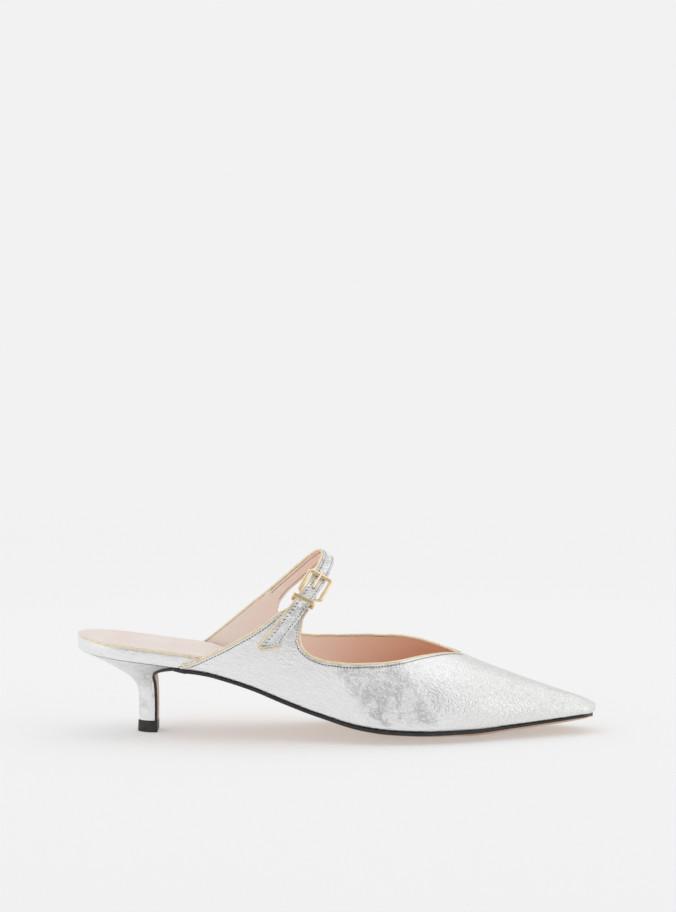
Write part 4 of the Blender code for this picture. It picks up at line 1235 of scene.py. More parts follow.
@dataclass
class Strap:
    """Instep strap from the medial seam over the ridge to its lateral tip."""

    last: Last
    pattern: Pattern
    lane: Lane
    steps: int = 300
    round_edge: float = 0.00045
    furrow: float = 0.00010
    furrow_width: float = 0.0003
    hole: float = 0.0020
    sharp_deg: float = 50.0

    def section(self, distance: float) -> list[Vector]:
        """Ring of the strap in the lane's own frame at a distance, low face first."""
        back, front = self.lane.edges(distance)
        lift, lean = float(self.lane.lift(distance)), self.lane.lean(distance)
        return [Vector((0, y, lift)) + lean * h for y, h in self.profile(back, front)]

    def profile(self, back: float, front: float) -> list[tuple[float, float]]:
        """Rounded section as places across and heights, low face first."""
        thick, r = self.lane.strap_thickness, self.round_edge
        r = min(r, (front - back) * 0.4)
        low = [(back, r), (back + r * 0.3, r * 0.3), (back + r, 0)]
        flat = [(back + r + (front - back - 2 * r) * k / 8, 0.0) for k in range(1, 8)]
        low += flat + [(front - r, 0), (front - r * 0.3, r * 0.3), (front, r)]
        high = []
        for y, h in low[::-1]:
            inside = min(y - back, front - y)
            seam = self.furrow * math.exp(-(((inside - STRAP_MARGIN) / self.furrow_width) ** 2))
            high.append((y, thick - h - seam))
        return low + high

    def root_ring(self) -> list[Vector]:
        """First ring, on the medial quarter's edge."""
        frame = self.lane.frame(self.lane.start)
        ends = []
        for at, rise in (self.pattern.back[Side.MEDIAL][-1], self.pattern.throat[Side.MEDIAL][0]):
            inner = Vector(self.last.spot(at, rise, Side.MEDIAL, CLEAR))
            ends.append((inner, Vector(self.last.normal(at, rise, Side.MEDIAL))))
        ends.sort(key=lambda pair: (frame.inverted() @ pair[0]).y)
        width = (ends[1][0] - ends[0][0]).length
        ring = []
        for y, h in self.profile(0.0, width):
            share = y / width
            normal = ends[0][1].lerp(ends[1][1], share).normalized()
            ring.append(ends[0][0].lerp(ends[1][0], share) + normal * h * WALL / self.lane.strap_thickness)
        return ring

    def build(self, coats: Finishes) -> bpy.types.Object:
        """Builds the strap with its hole, silver above and lined below.

        Args:
            coats: The shoe's materials.

        Returns:
            The piece.
        """
        start, run = self.lane.start, self.lane.seam_run
        root = self.root_ring()
        first_frame = self.lane.frame(start + run)
        first = [first_frame @ p for p in self.section(start + run)]
        rings = [root]
        for distance in list(spread(start, self.lane.tip_distance, self.steps))[1:]:
            if distance < start + run:
                t = (distance - start) / run
                rings.append([a.lerp(b, t) for a, b in zip(root, first)])
            else:
                frame = self.lane.frame(distance)
                rings.append([frame @ p for p in self.section(distance)])
        lined = range(1, len(root) // 2 - 2)
        leathers = [coats.strap, coats.lining]
        thing = skin_from("strap_leather", rings, leathers, lambda ring, k: int(k in lined))
        self.punch(thing, coats.ink)
        return thing

    def punch(self, strap: bpy.types.Object, inside: bpy.types.Material) -> None:
        """Cuts the prong's hole through the strap.

        Args:
            strap: The finished strap.
            inside: Material of the hole's wall.
        """
        at, thick = self.lane.hole_distance, self.lane.strap_thickness
        aside = at * math.sin(math.radians(self.lane.buckle_turn_deg))
        place = self.lane.frame(at) @ Matrix.Translation((0, aside, float(self.lane.lift(at)) + thick / 2))
        place = place @ Matrix.Rotation(-self.lane.slope(at), 4, "Y")
        shape = bmesh.new()
        bmesh.ops.create_cone(shape, cap_ends=True, segments=28, radius1=self.hole / 2,
                              radius2=self.hole / 2, depth=thick * 3, matrix=place)
        mesh = bpy.data.meshes.new("strap_hole")
        shape.to_mesh(mesh)
        shape.free()
        mesh.materials.append(inside)
        pin = put("strap_hole", mesh)
        step = strap.modifiers.new("hole", "BOOLEAN")
        step.operation, step.solver, step.object = "DIFFERENCE", "EXACT", pin
        made = made_mesh(strap)
        strap.modifiers.clear()
        old, strap.data = strap.data, made
        bpy.data.meshes.remove(old)
        bpy.data.objects.remove(pin, do_unlink=True)
        strap.data.shade_smooth()
        strap.data.set_sharp_from_angle(angle=math.radians(self.sharp_deg))


@dataclass
class Bottom:
    """Insole, sock and outsole."""

    last: Last
    seat_board: float = 0.0065
    forepart_board: float = 0.0020
    sock_thickness: float = 0.0010
    sock_inset: float = 0.0014
    sole_margin: float = 0.0004
    foot_bevel: float = 0.35
    thin_from: float = 0.24
    thin_over: float = 0.18
    insole_end: float = 0.972
    insole_bevel: float = 0.0009
    sock_end: float = 0.955
    sock_bevel: float = 0.0004
    across: int = 40
    sole_start: float = 0.215
    sole_end: float = 0.9985
    sole_bevel: float = 0.0006
    sole_across: int = 44
    ink_width: float = 0.0016
    ribs_along: int = 38
    rib_steps: int = 5

    def stations(self, end: float) -> np.ndarray:
        """Stations along the bottom, close together round the seat."""
        seat = self.last.seat_round / self.last.length
        around = seat * (1 - np.cos(np.linspace(0, math.pi / 2, 29)))
        around[0] = seat * 0.0008
        return np.concatenate([around, spread(seat, end, 110, 0.35)[1:]])

    def board(self, at: Any) -> Any:
        """Thickness of the insole at a station."""
        share = ease((at - self.thin_from) / self.thin_over)
        return self.seat_board + (self.forepart_board - self.seat_board) * share

    def slab(self, at: float, low: float, high: float, inset: float, bevel: float) -> list[Vector]:
        """Ring of a slab with rounded edges along the last's bottom.

        Args:
            at: Station.
            low: Height of its underside over the feather edge.
            high: Height of its top.
            inset: How far its sides stay inside the last.
            bevel: Radius of its edges.

        Returns:
            The ring, underside first.
        """
        last = self.last
        rounding = float(last.end_round(at))
        spots = []
        half = {side: max(float(last.half_width(at, side)) - inset * rounding, 0.0002) for side in Side}
        bevel = min(bevel, (high - low) / 2)
        for share in np.sin(np.linspace(-math.pi / 2, math.pi / 2, self.across + 1)):
            side = Side.LATERAL if share < 0 else Side.MEDIAL
            y = float(share) * half[side]
            middle = float(last.feather(at)) - float(last.camber(at, share))
            spots.append((y, middle, bevel_drop(bevel, half[side] - abs(y))))
        x = float(last.x(at))
        under = [Vector((x, y, z + low + drop * self.foot_bevel)) for y, z, drop in spots]
        over = [Vector((x, y, z + high - drop)) for y, z, drop in spots]
        return under + over[::-1]

    def insole(self, coats: Finishes) -> bpy.types.Object:
        """Insole wrapped in silver leather, thick over the seat."""
        rings = [self.slab(at, 0.0, float(self.board(at)), 0.0, self.insole_bevel)
                 for at in self.stations(self.insole_end)]
        return skin_from("insole_cover", rings, [coats.silver], sharp_deg=50.0)

    def sock(self, coats: Finishes) -> bpy.types.Object:
        """Pink sock over the insole."""
        rings = []
        for at in self.stations(self.sock_end):
            low = float(self.board(at)) + CLEAR * 0.2
            rings.append(self.slab(at, low, low + self.sock_thickness, self.sock_inset, self.sock_bevel))
        return skin_from("sock_leather", rings, [coats.sock], sharp_deg=50.0)

    def ribs(self, block: HeelBlock) -> np.ndarray:
        """Lines of the outsole's top from the toe to the arch and down the breast.

        Args:
            block: The heel, whose breast the flap covers.

        Returns:
            Rows of x, z, lateral and medial half width, thickness and camber.
        """
        last = self.last
        covered = CLEAR + WALL + self.sole_margin
        rows = []
        for at in spread(self.sole_start, self.sole_end, self.ribs_along, 0.3)[::-1]:
            edge = covered * float(last.end_round(at))
            halves = [float(last.half_width(at, side)) + edge for side in Side]
            top, sink = float(last.feather(at)) - CLEAR, float(last.camber(at, 0.0))
            rows.append((last.x(at), top, *halves, last.sole_edge * float(last.column("edge", at)), sink))
        for k, level in enumerate(range(len(block.levels) - 1, -1, -1)):
            _, _, x, z, half = block.level(level)
            t = min(k / 3, 1.0)
            rows.append((x, z, half, half, last.sole_edge * 0.85 * (1 - t) + FLAP * t, 0.0))
        rows = np.array(rows)
        fine = []
        for i in range(len(rows) - 1):
            flat = abs(rows[i][1] - rows[i + 1][1]) < 1e-6
            for f in (k / self.rib_steps for k in range(self.rib_steps)):
                fine.append(rows[i] + (rows[i + 1] - rows[i]) * f if flat else between(rows, i, f))
        fine.append(rows[-1])
        return np.array(fine)

    def outsole(self, coats: Finishes, block: HeelBlock) -> bpy.types.Object:
        """Leather outsole with a black edge, turned down over the heel's breast."""
        ribs = self.ribs(block)
        across = self.sole_across
        shares = np.sin(np.linspace(-math.pi / 2, math.pi / 2, across + 1))
        rings = []
        for i, (x, z, lateral, medial, thick, camber) in enumerate(ribs):
            ahead, behind = ribs[max(i - 1, 0)], ribs[min(i + 1, len(ribs) - 1)]
            lean = math.atan2(ahead[1] - behind[1], ahead[0] - behind[0])
            up = np.array([-math.sin(lean), 0, math.cos(lean)])
            on_breast = i >= self.rib_steps * self.ribs_along
            top_at = np.array([x, 0.0, z]) - (up * CLEAR if on_breast else 0)
            bevel = min(self.sole_bevel, thick * 0.42)
            over, under = [], []
            for share in shares:
                half = lateral if share < 0 else medial
                y = share * half
                drop = bevel_drop(bevel, half - abs(y))
                sink = camber * float(self.last.hollow(share))
                spot = top_at + np.array([0, y, 0]) - up * sink
                over.append(Vector(spot - up * drop * 0.5))
                under.append(Vector(spot - up * (thick - drop)))
            rings.append(over + under[::-1])
        count = len(rings[0])

        def coat(ring: int, k: int) -> int:
            """Black round the edge, tan underneath."""
            place = k if k <= across else count - 1 - k
            near = shares[min(max(place, 0), across)]
            half = (ribs[ring][2] + ribs[ring][3]) / 2
            return 0 if (1 - abs(near)) * half < self.ink_width or k >= count - 1 else 1

        return skin_from("outsole_leather", rings, [coats.ink, coats.tan], coat, sharp_deg=50.0)


@dataclass
class HeelBlock:
    """Kitten heel covered in silver leather, with its top piece."""

    last: Last
    tip_height: float = 0.0058
    tip_flare: float = 0.0003
    stem_length: float = 0.0086
    stem_setback: float = 0.0001
    stem_width: float = 0.0118
    seat_width: float = 0.0530
    breast_reach: float = 0.0155
    seat_gap: float = CLEAR * 0.4
    cover_tuck: float = 0.0005
    cover_tuck_height: float = 0.0009
    around: int = 64
    steps: int = 90
    levels: tuple[tuple[float, ...], ...] = (
        (0.000, 0.000, 0.000, 0.000, 0.00, 0.0), (0.000, 0.184, 0.010, 0.228, 0.01, 0.0),
        (0.002, 0.362, 0.000, 0.460, 0.03, 0.0), (0.026, 0.463, -0.030, 0.630, 0.06, 0.0),
        (0.098, 0.556, -0.075, 0.738, 0.16, 0.0), (0.212, 0.641, -0.020, 0.820, 0.30, 0.1),
        (0.379, 0.726, 0.180, 0.890, 0.49, 0.3), (0.569, 0.822, 0.500, 0.944, 0.68, 0.5),
        (0.758, 0.910, 0.900, 0.982, 0.86, 0.8), (1.000, 1.000, 1.000, 1.000, 1.00, 1.0),
    )

    def level(self, k: int) -> tuple[float, float, float, float, float]:
        """Back x and z, front x and z, and half width of one level."""
        back, back_up, front, front_up, width, _ = self.levels[k]
        foot = self.tip_height + CLEAR
        back_seat = float(self.last.feather(0.0)) - self.seat_gap
        front_seat = float(self.last.feather(self.last.station(self.breast_reach))) - self.seat_gap
        stem_back = -self.stem_length / 2 - self.stem_setback
        stem_front = self.stem_length / 2 - self.stem_setback
        return (
            stem_back + (self.last.back_x - stem_back) * back,
            foot + (back_seat - foot) * back_up,
            stem_front + (self.breast_reach - stem_front) * front,
            foot + (front_seat - foot) * front_up,
            self.stem_width / 2 + (self.seat_width - self.stem_width) / 2 * width,
        )

    def ring(self, k: int) -> np.ndarray:
        """Ring of one level, from the breast's lateral corner round the back to its medial corner."""
        back, back_z, front, front_z, half = self.level(k)
        square = self.levels[k][5]
        power = 2 / (2 + square)
        angle = np.linspace(0, math.pi, self.around + 1)
        reach = np.abs(np.sin(angle)) ** power
        sign = np.where(angle < math.pi / 2, -1.0, 1.0)
        x = front + (back - front) * reach
        y = half * np.abs(np.cos(angle)) ** power
        z = front_z + (back_z - front_z) * reach
        if square == 1.0:
            at = np.maximum(self.last.station(x), 0.0006)
            lateral, medial = (self.last.half_width(at, side) for side in Side)
            y = np.where(sign < 0, lateral, medial)
            z = self.last.feather(at) - self.seat_gap
        return np.stack([x, sign * y, z], axis=-1)

    def block(self, coats: Finishes) -> bpy.types.Object:
        """The covered block, with the cover turned in under the seat."""
        rings = np.array([self.ring(k) for k in range(len(self.levels))])
        numbers = np.arange(len(rings), dtype=float)
        fine = np.linspace(0, len(rings) - 1, self.steps + 1)
        shape = rings.reshape(len(rings), -1)
        made = np.stack([Fair.through(numbers, shape[:, c])(fine) for c in range(shape.shape[1])], axis=1)
        made = made.reshape(len(fine), -1, 3)
        top = made[-1, :, 2]
        for ring in made:
            near = np.clip(1 - (top - ring[:, 2]) / self.cover_tuck_height, 0, 1)
            away = unit((ring - ring.mean(axis=0)) * np.array([1, 1, 0]))
            ring -= away * (self.cover_tuck * near**2)[:, None]
        return skin_from("heel_cover", made, [coats.cover], sharp_deg=50.0)

    def top_piece(self, coats: Finishes) -> bpy.types.Object:
        """Rubber top piece under the stem."""
        rings = []
        flare, tall = self.tip_flare, self.tip_height
        for z, grow, inset in ((0.0, 2.0, 0.00025), (0.0003, 2.0, 0.0), (tall * 0.5, 1.4, 0.0),
                               (tall - 0.0002, 1.0, 0.0), (tall, 1.0, 0.00015)):
            angle = np.linspace(0, math.pi, self.around + 1)
            front = self.stem_length / 2 - self.stem_setback + CLEAR + FLAP - inset
            back = -self.stem_length / 2 - self.stem_setback - flare * grow + inset
            x = front + (back - front) * np.sin(angle)
            y = -(self.stem_width / 2 + flare * grow - inset) * np.cos(angle)
            rings.append(np.stack([x, y, np.full_like(x, z)], axis=-1))
        return skin_from("heel_top_piece", rings, [coats.rubber], sharp_deg=30.0)


@dataclass
class Buckle:
    """Four-bar buckle with its prong and the metal keeper."""

    lane: Lane
    width: float = 0.0142
    corner: float = 0.0025
    thickness: float = 0.0013
    prong_diameter: float = 0.0010
    keeper_width: float = 0.0023
    keeper_wire: float = 0.0009
    keeper_span: float = 0.0122
    keeper_distance: float = 0.0107
    keeper_shift: float = 0.0006
    keeper_turn_deg: float = 11.0

    @staticmethod
    def round_box(length: float, width: float, corner: float, steps: int,
                  straight: int) -> list[tuple[Vector, Vector]]:
        """Spots and outward directions round a rectangle with rounded corners.

        Args:
            length: Along X.
            width: Along Y.
            corner: Radius of the corners.
            steps: Steps round a corner.
            straight: Steps along a straight.

        Returns:
            Pairs of spot and direction.
        """
        made: list[tuple[Vector, Vector]] = []
        for k, (sx, sy) in enumerate(((1, -1), (1, 1), (-1, 1), (-1, -1))):
            for j in range(steps + 1):
                angle = math.radians(-90 + 90 * k + 90 * j / steps)
                out = Vector((math.cos(angle), math.sin(angle), 0))
                middle = Vector((sx * (length / 2 - corner), sy * (width / 2 - corner), 0))
                spot = middle + out * corner
                if j == 0 and made:
                    before = made[-1][0]
                    made += [(before.lerp(spot, i / straight), out.copy()) for i in range(1, straight)]
                made.append((spot, out))
        first = made[0][0]
        last = made[-1][0]
        made += [(last.lerp(first, i / straight), made[0][1].copy()) for i in range(1, straight)]
        return made

    def frame(self, coats: Finishes) -> bpy.types.Object:
        """The frame, with flat faces, soft bevels and a slim lower bar."""
        lane = self.lane
        place = lane.buckle_place() @ Matrix.Translation((0, 0, lane.buckle_lift))
        rings = []
        for outer, out in self.round_box(lane.buckle_length, self.width, self.corner, 12, 8):
            slim = float(ease((out.x - 0.92) / 0.079))
            wide = lane.buckle_side + (lane.buckle_bar - lane.buckle_side) * slim
            thick = self.thickness + (lane.buckle_bar - self.thickness) * slim
            top, bevel = thick / 2, thick * 0.34
            low, soft = top - bevel, top - bevel * 0.35
            upper = [(-0.02 * wide, low), (-bevel * 0.35, soft), (-bevel, top), (-wide * 0.5, top + 0.00008),
                     (-wide + bevel, top), (-wide + bevel * 0.35, soft), (-wide * 0.98, low)]
            section = upper + [(a, -b) for a, b in upper[::-1]]
            rings.append([place @ (outer + out * a + Vector((0, 0, b))) for a, b in section])
        return skin_from("buckle_gold", rings, [coats.gold], closed=True, sharp_deg=60.0)

    def prong(self, coats: Finishes) -> bpy.types.Object:
        """The prong, hooked round the lower bar and resting on the upper bar."""
        lane = self.lane
        place = lane.buckle_place()
        ring = lane.buckle_bar / 2 + CLEAR + self.prong_diameter / 2
        path = []
        for degrees in (-130, -90, -45, 0, 45, 90, 130):
            angle = math.radians(degrees)
            along, up = ring * math.cos(angle), ring * math.sin(angle)
            path.append((lane.bar_distance + along, lane.buckle_lift + up))
        rest = lane.buckle_lift + self.thickness / 2 + self.prong_diameter / 2 + 0.0001
        hole, over = lane.hole_distance, float(lane.lift(lane.hole_distance))
        path += [
            (hole + 0.0016, lane.buckle_lift),
            (hole + 0.0007, lane.buckle_lift + 0.0002),
            (hole + 0.0003, over - 0.0008),
            (hole - 0.0005, over + lane.strap_thickness + 0.0002),
            (hole - 0.0013, over + lane.strap_thickness + 0.0007),
            (-lane.bar_distance + 0.0006, rest + lane.buckle_tilt / 2 + 0.0002),
            (-lane.bar_distance - 0.0006, rest),
        ]
        spots = [place @ Vector((x, 0, z)) for x, z in path]
        fine = [between(spots, i, k / 6) for i in range(len(spots) - 1) for k in range(6)] + [spots[-1]]
        return tube("prong_gold", fine, self.prong_diameter / 2, coats.gold, place.col[1].to_3d())

    def keeper(self, coats: Finishes) -> bpy.types.Object:
        """The keeper, a flat loop with raised rims."""
        lane = self.lane
        turn = Matrix.Rotation(math.radians(self.keeper_turn_deg), 4, "Z")
        place = lane.frame(self.keeper_distance) @ Matrix.Translation((0, -self.keeper_shift, 0)) @ turn
        under = float(lane.lift(self.keeper_distance - self.keeper_width / 2))
        low, high = -self.keeper_wire, under + lane.strap_thickness * 1.15 + CLEAR + self.keeper_wire
        tall = high - low
        w, t = self.keeper_width / 2, self.keeper_wire
        rim = ((1.0, 0.75), (1.0, 0.25), (0.88, 0.04), (0.66, 0.0), (0.46, 0.10), (0.25, 0.02))
        section = [(-w * a, -t * b) for a, b in rim] + [(0.0, 0.0)] + [(w * a, -t * b) for a, b in rim[::-1]]
        section += [(w * 0.9, -t), (-w * 0.9, -t)]
        rings = []
        for outer, out in self.round_box(tall, self.keeper_span, self.keeper_wire * 1.1, 8, 10):
            spots = [(along, outer + out * deep) for along, deep in section]
            rings.append([place @ Vector((along, spot.y, spot.x + low + tall / 2)) for along, spot in spots])
        return skin_from("keeper_gold", rings, [coats.gold], closed=True, sharp_deg=60.0)


def tube(name: str, path: Sequence[Vector], radius: float, finish: bpy.types.Material,
         across: Vector) -> bpy.types.Object:
    """Round wire with rounded ends, bent in one plane.

    Args:
        name: Name of the piece.
        path: Its middle line.
        radius: Of the wire.
        finish: Its material.
        across: Direction square to the plane it bends in.

    Returns:
        The piece.
    """
    sides = 16
    rings = []
    stops = [(0, -radius * 0.95, 0.25), (0, -radius * 0.6, 0.75)] + [(i, 0.0, 1.0) for i in range(len(path))]
    stops += [(len(path) - 1, radius * 0.6, 0.75), (len(path) - 1, radius * 0.95, 0.25)]
    for i, push, share in stops:
        along = (path[min(i + 1, len(path) - 1)] - path[max(i - 1, 0)]).normalized()
        up = along.cross(across).normalized()
        middle = path[i] + along * push
        rings.append([middle + (across * math.cos(a) + up * math.sin(a)) * radius * share
                      for a in (2 * math.pi * k / sides for k in range(sides))])
    faces: list[Sequence[int]] = list(ring_faces(len(rings), sides))
    faces += [list(range(sides)), list(range((len(rings) - 1) * sides, len(rings) * sides))]
    return object_from(name, [p for ring in rings for p in ring], faces, [finish])


def relax(spots: Sequence[Vector], rounds: int) -> list[Vector]:
    """Line with its kinks smoothed out and its ends kept."""
    made = np.array([tuple(p) for p in spots])
    for _ in range(rounds):
        made[1:-1] = made[1:-1] * 0.5 + (made[:-2] + made[2:]) * 0.25
    return [Vector(p) for p in made]


@dataclass
class Trim:
    """Bindings and stitches along the edges of upper and strap."""

    last: Last
    pattern: Pattern
    lane: Lane
    upper: Upper
    diameter: float = 0.0013
    seat_in: float = 0.0001
    seat_diameter: float = 0.0010
    seat_inset: float = 0.0006
    seat_end: float = 0.28
    edge_start: float = 0.004
    root_gap: float = 0.002
    medial_gap: float = 0.003
    point_gap: float = 0.006
    point_at: float = 0.0047
    parting: float = 0.0014
    tip_out: float = 0.00055
    seam_gap: float = 0.001
    seam_point_gap: float = 0.012
    row_start: float = 0.006
    row_ends: tuple[float, float] = (0.0024, 0.0100)
    tip_row_in: float = 0.0012
    tip_steps: int = 24
    tab_first: int = 2
    tab_back_end: int = 20
    tab_front_end: int = 30
    tab_seam_end: int = 27

    def along_edge(self, start: float, end: float, side: Side,
                   count: int) -> tuple[np.ndarray, np.ndarray, np.ndarray]:
        """Spots, outward directions and directions away from the panel along its top edge.

        Args:
            start: First station.
            end: Last station.
            side: Side of the shoe.
            count: Number of steps.

        Returns:
            The three arrays.
        """
        at = np.linspace(start, end, count + 1)
        rise = self.pattern.topline(at, side)
        spot = self.last.spot(at, rise, side, CLEAR)
        normal = self.last.normal(at, rise, side)
        behind, ahead = (self.last.spot(near, self.pattern.topline(near, side), side, CLEAR)
                         for near in (at - 0.003, at + 0.003))
        away = unit(np.cross(normal, ahead - behind))
        up = self.last.spot(at, rise, side) - self.last.spot(at, rise - 0.01, side)
        away *= np.where((away * up).sum(-1, keepdims=True) < 0, -1.0, 1.0)
        return spot, normal, away

    def edge_bead(self, start: float, end: float, side: Side, count: int) -> list[Vector]:
        """Middle line of a binding above the panel's edge."""
        spot, normal, away = self.along_edge(start, end, side, count)
        made = spot + normal * WALL / 2 + away * (self.diameter / 2 - self.seat_in)
        return [Vector(p) for p in made]

    def strap_bead(self, distance: float) -> Vector:
        """Middle of the binding along the strap's back edge."""
        back = self.lane.edges(distance)[0] - self.diameter / 2 + self.seat_in
        lift = float(self.lane.lift(distance)) + self.lane.strap_thickness / 2
        return self.lane.frame(distance) @ Vector((0, back, lift))

    def strap_end(self, out_by: float, lift: float = 0.0006) -> list[Vector]:
        """Line across the strap's slanted tip, from its back corner forwards, moved out by a distance."""
        tip, slant, steps = self.lane.tip_distance, self.lane.tip_slant, self.tip_steps
        stops = [tip - slant * k / steps for k in range(steps + 1)]
        flat = [Vector((d, self.lane.edges(d)[1])) for d in stops]
        made = []
        for k, spot in enumerate(flat):
            along = (flat[min(k + 1, steps)] - flat[max(k - 1, 0)]).normalized()
            up = float(self.lane.lift(spot.x)) + lift
            place = Vector((along.y * out_by, spot.y - along.x * out_by, up))
            made.append(self.lane.frame(spot.x) @ place)
        return made

    def tab_line(self, front: bool, end: int, out_by: float, away_by: float) -> list[Vector]:
        """Line up one side of the tab, moved outwards from the leather and away from the tab.

        Args:
            front: Whether it runs up the front side.
            end: Number of the tab's row before which it ends.
            out_by: Distance outwards.
            away_by: Distance away from the tab.

        Returns:
            Spots from the root upwards.
        """
        rows = self.upper.tab_side(front)[self.tab_first:end]
        return [p + out * out_by + aside * away_by for p, out, aside in rows]

    def bindings(self, coats: Finishes) -> list[tuple[bpy.types.Object, str]]:
        """Lays every binding.

        Args:
            coats: The shoe's materials.

        Returns:
            Pieces with the node each one stands for.
        """
        bead = Bead(self.diameter, coats.binding)
        out_by = self.diameter / 2 - self.seat_in
        start = self.pattern.quarter_end + self.edge_start
        lateral_back, lateral_front = self.pattern.root(Side.LATERAL)
        medial_back, medial_front = self.pattern.root(Side.MEDIAL)
        lateral = self.edge_bead(start, lateral_back - self.root_gap, Side.LATERAL, 90)
        lateral = relax(lateral + self.tab_line(False, self.tab_back_end, WALL / 2, out_by), 12)
        medial = self.edge_bead(start, medial_back - self.medial_gap, Side.MEDIAL, 90)
        first = self.lane.start + self.lane.seam_run
        top = -self.lane.buckle_length / 2 - self.parting
        medial += [self.strap_bead(d) for d in spread(first + 0.001, top - 0.0001, 120)]
        medial = relax(medial, 60)
        lower = [self.strap_bead(d) for d in spread(top, self.lane.tip_distance, 120)]
        lower += self.strap_end(self.tip_out)
        point = self.pattern.vamp_point - self.point_gap
        near = self.tab_line(True, self.tab_front_end, WALL / 2, out_by)[::-1]
        near = relax(near + self.edge_bead(lateral_front + self.root_gap, point, Side.LATERAL, 150), 12)
        far = self.edge_bead(medial_front + self.root_gap, point, Side.MEDIAL, 150)
        tip = self.pattern.vamp_point - self.point_at
        middle = Vector(self.last.spot(tip, 1.0, Side.MEDIAL, CLEAR + WALL / 2))
        return [
            (bead.lay("binding_lateral", lateral), "lateral_piping"),
            (bead.lay("binding_medial", medial), "medial_piping"),
            (bead.lay("binding_strap_tip", lower), "strap_piping"),
            (bead.lay("binding_throat", near + [middle] + far[::-1]), "throat_piping"),
        ]

    def seam(self, edge: Edge, side: Side, margin: float,
             inside: bool = False) -> tuple[list[Vector], list[Vector]]:
        """Line on the upper at a margin below one of its edges.

        Args:
            edge: Which of the side's two edges.
            side: Side of the shoe.
            margin: Distance from the edge.
            inside: Whether the line lies on the lining.

        Returns:
            Spots and their outward directions.
        """
        back, front = self.pattern.root(side)
        start, end = self.pattern.quarter_end + self.edge_start, back - self.seam_gap
        if edge is Edge.THROAT:
            start, end = front + self.seam_gap, self.pattern.vamp_point - self.seam_point_gap
        spot, normal, away = self.along_edge(start, end, side, 160)
        wall = 0.0 if inside else WALL
        places = [Vector(p) for p in spot + normal * wall - away * margin]
        if side is Side.LATERAL and not inside:
            if edge is Edge.BACK:
                places += self.tab_line(False, self.tab_back_end, WALL, -margin)
            else:
                places = self.tab_line(True, self.tab_seam_end, WALL, -margin)[::-1] + places
        spots, outs = [], []
        for place in places:
            hit, out, _, _ = self.upper.skin.find_nearest(place)
            spots.append(hit)
            outs.append(out)
        return relax(spots, 6), outs

    def strap_row(self, share: int, inside: bool = False) -> tuple[list[Vector], list[Vector]]:
        """Line along the strap's back (0) or front (1) edge, on its face or its lining."""
        spots, outs = [], []
        end = self.lane.tip_distance - self.row_ends[share]
        for d in np.linspace(self.lane.start + self.row_start, end, 220):
            distance = float(d)
            frame = self.lane.frame(distance)
            y = self.lane.edges(distance)[share] + (STRAP_MARGIN if share == 0 else -STRAP_MARGIN)
            lean = self.lane.lean(distance)
            height = 0.0 if inside else self.lane.strap_thickness
            spots.append(frame @ (Vector((0, y, float(self.lane.lift(distance)))) + lean * height))
            outs.append(frame.to_3x3() @ (-lean if inside else lean))
        return spots, outs

    def stitches(self, coats: Finishes) -> list[bpy.types.Object]:
        """Sews every row.

        Args:
            coats: The shoe's materials.

        Returns:
            The rows.
        """
        row = StitchRow(coats.thread)
        bold = StitchRow(coats.thread, pitch=0.0021, length=0.0015, width=0.00048, slant_deg=-45.0)
        brown = StitchRow(coats.brown_thread, pitch=0.0015, length=0.0013, width=0.0004, rise=0.0005)
        made = []
        for side in Side:
            for edge in Edge:
                name = f"{edge.name}_{side.name}".lower()
                made.append(row.sew(f"stitches_{name}", *self.seam(edge, side, UPPER_MARGIN)))
                inner = self.seam(edge, side, LINING_MARGIN, True)
                made.append(brown.sew(f"lining_stitches_{name}", *inner))
        made.append(bold.sew("stitches_strap_back", *self.strap_row(0)))
        made.append(row.sew("stitches_strap_front", *self.strap_row(1)))
        made.append(brown.sew("lining_stitches_strap_back", *self.strap_row(0, True)))
        made.append(brown.sew("lining_stitches_strap_front", *self.strap_row(1, True)))
        end = self.strap_end(-self.tip_row_in, self.lane.strap_thickness)[3:]
        out = self.lane.frame(self.lane.tip_distance).col[2].to_3d()
        made.append(row.sew("stitches_strap_tip", end, [out] * len(end)))
        return made

    def seat_bead(self, coats: Finishes) -> bpy.types.Object:
        """Lays the fine binding round the seat, on the edge of the insole's top."""
        bottom = Bottom(self.last)
        flat = []
        for side in Side:
            at = self.last.seat_round / self.last.length * (1 - np.cos(np.linspace(0.02, math.pi / 2, 40)))
            at = np.concatenate([at, np.linspace(at[-1], self.seat_end, 60)[1:]])
            y = self.last.half_width(at, side) * side.value
            line = np.stack([self.last.x(at), y, self.last.feather(at) + bottom.board(at)], axis=-1)
            flat.append(line[::-1] if side is Side.LATERAL else line)
        line = np.concatenate(flat)
        along = np.gradient(line, axis=0)
        inward = unit(np.stack([along[:, 1], -along[:, 0], np.zeros(len(line))], axis=-1))
        made = line + inward * self.seat_inset + np.array([0.0, 0.0, 0.0002])
        bead = Bead(self.seat_diameter, coats.binding)
        return bead.lay("binding_seat", relax([Vector(p) for p in made], 4))


# The picture

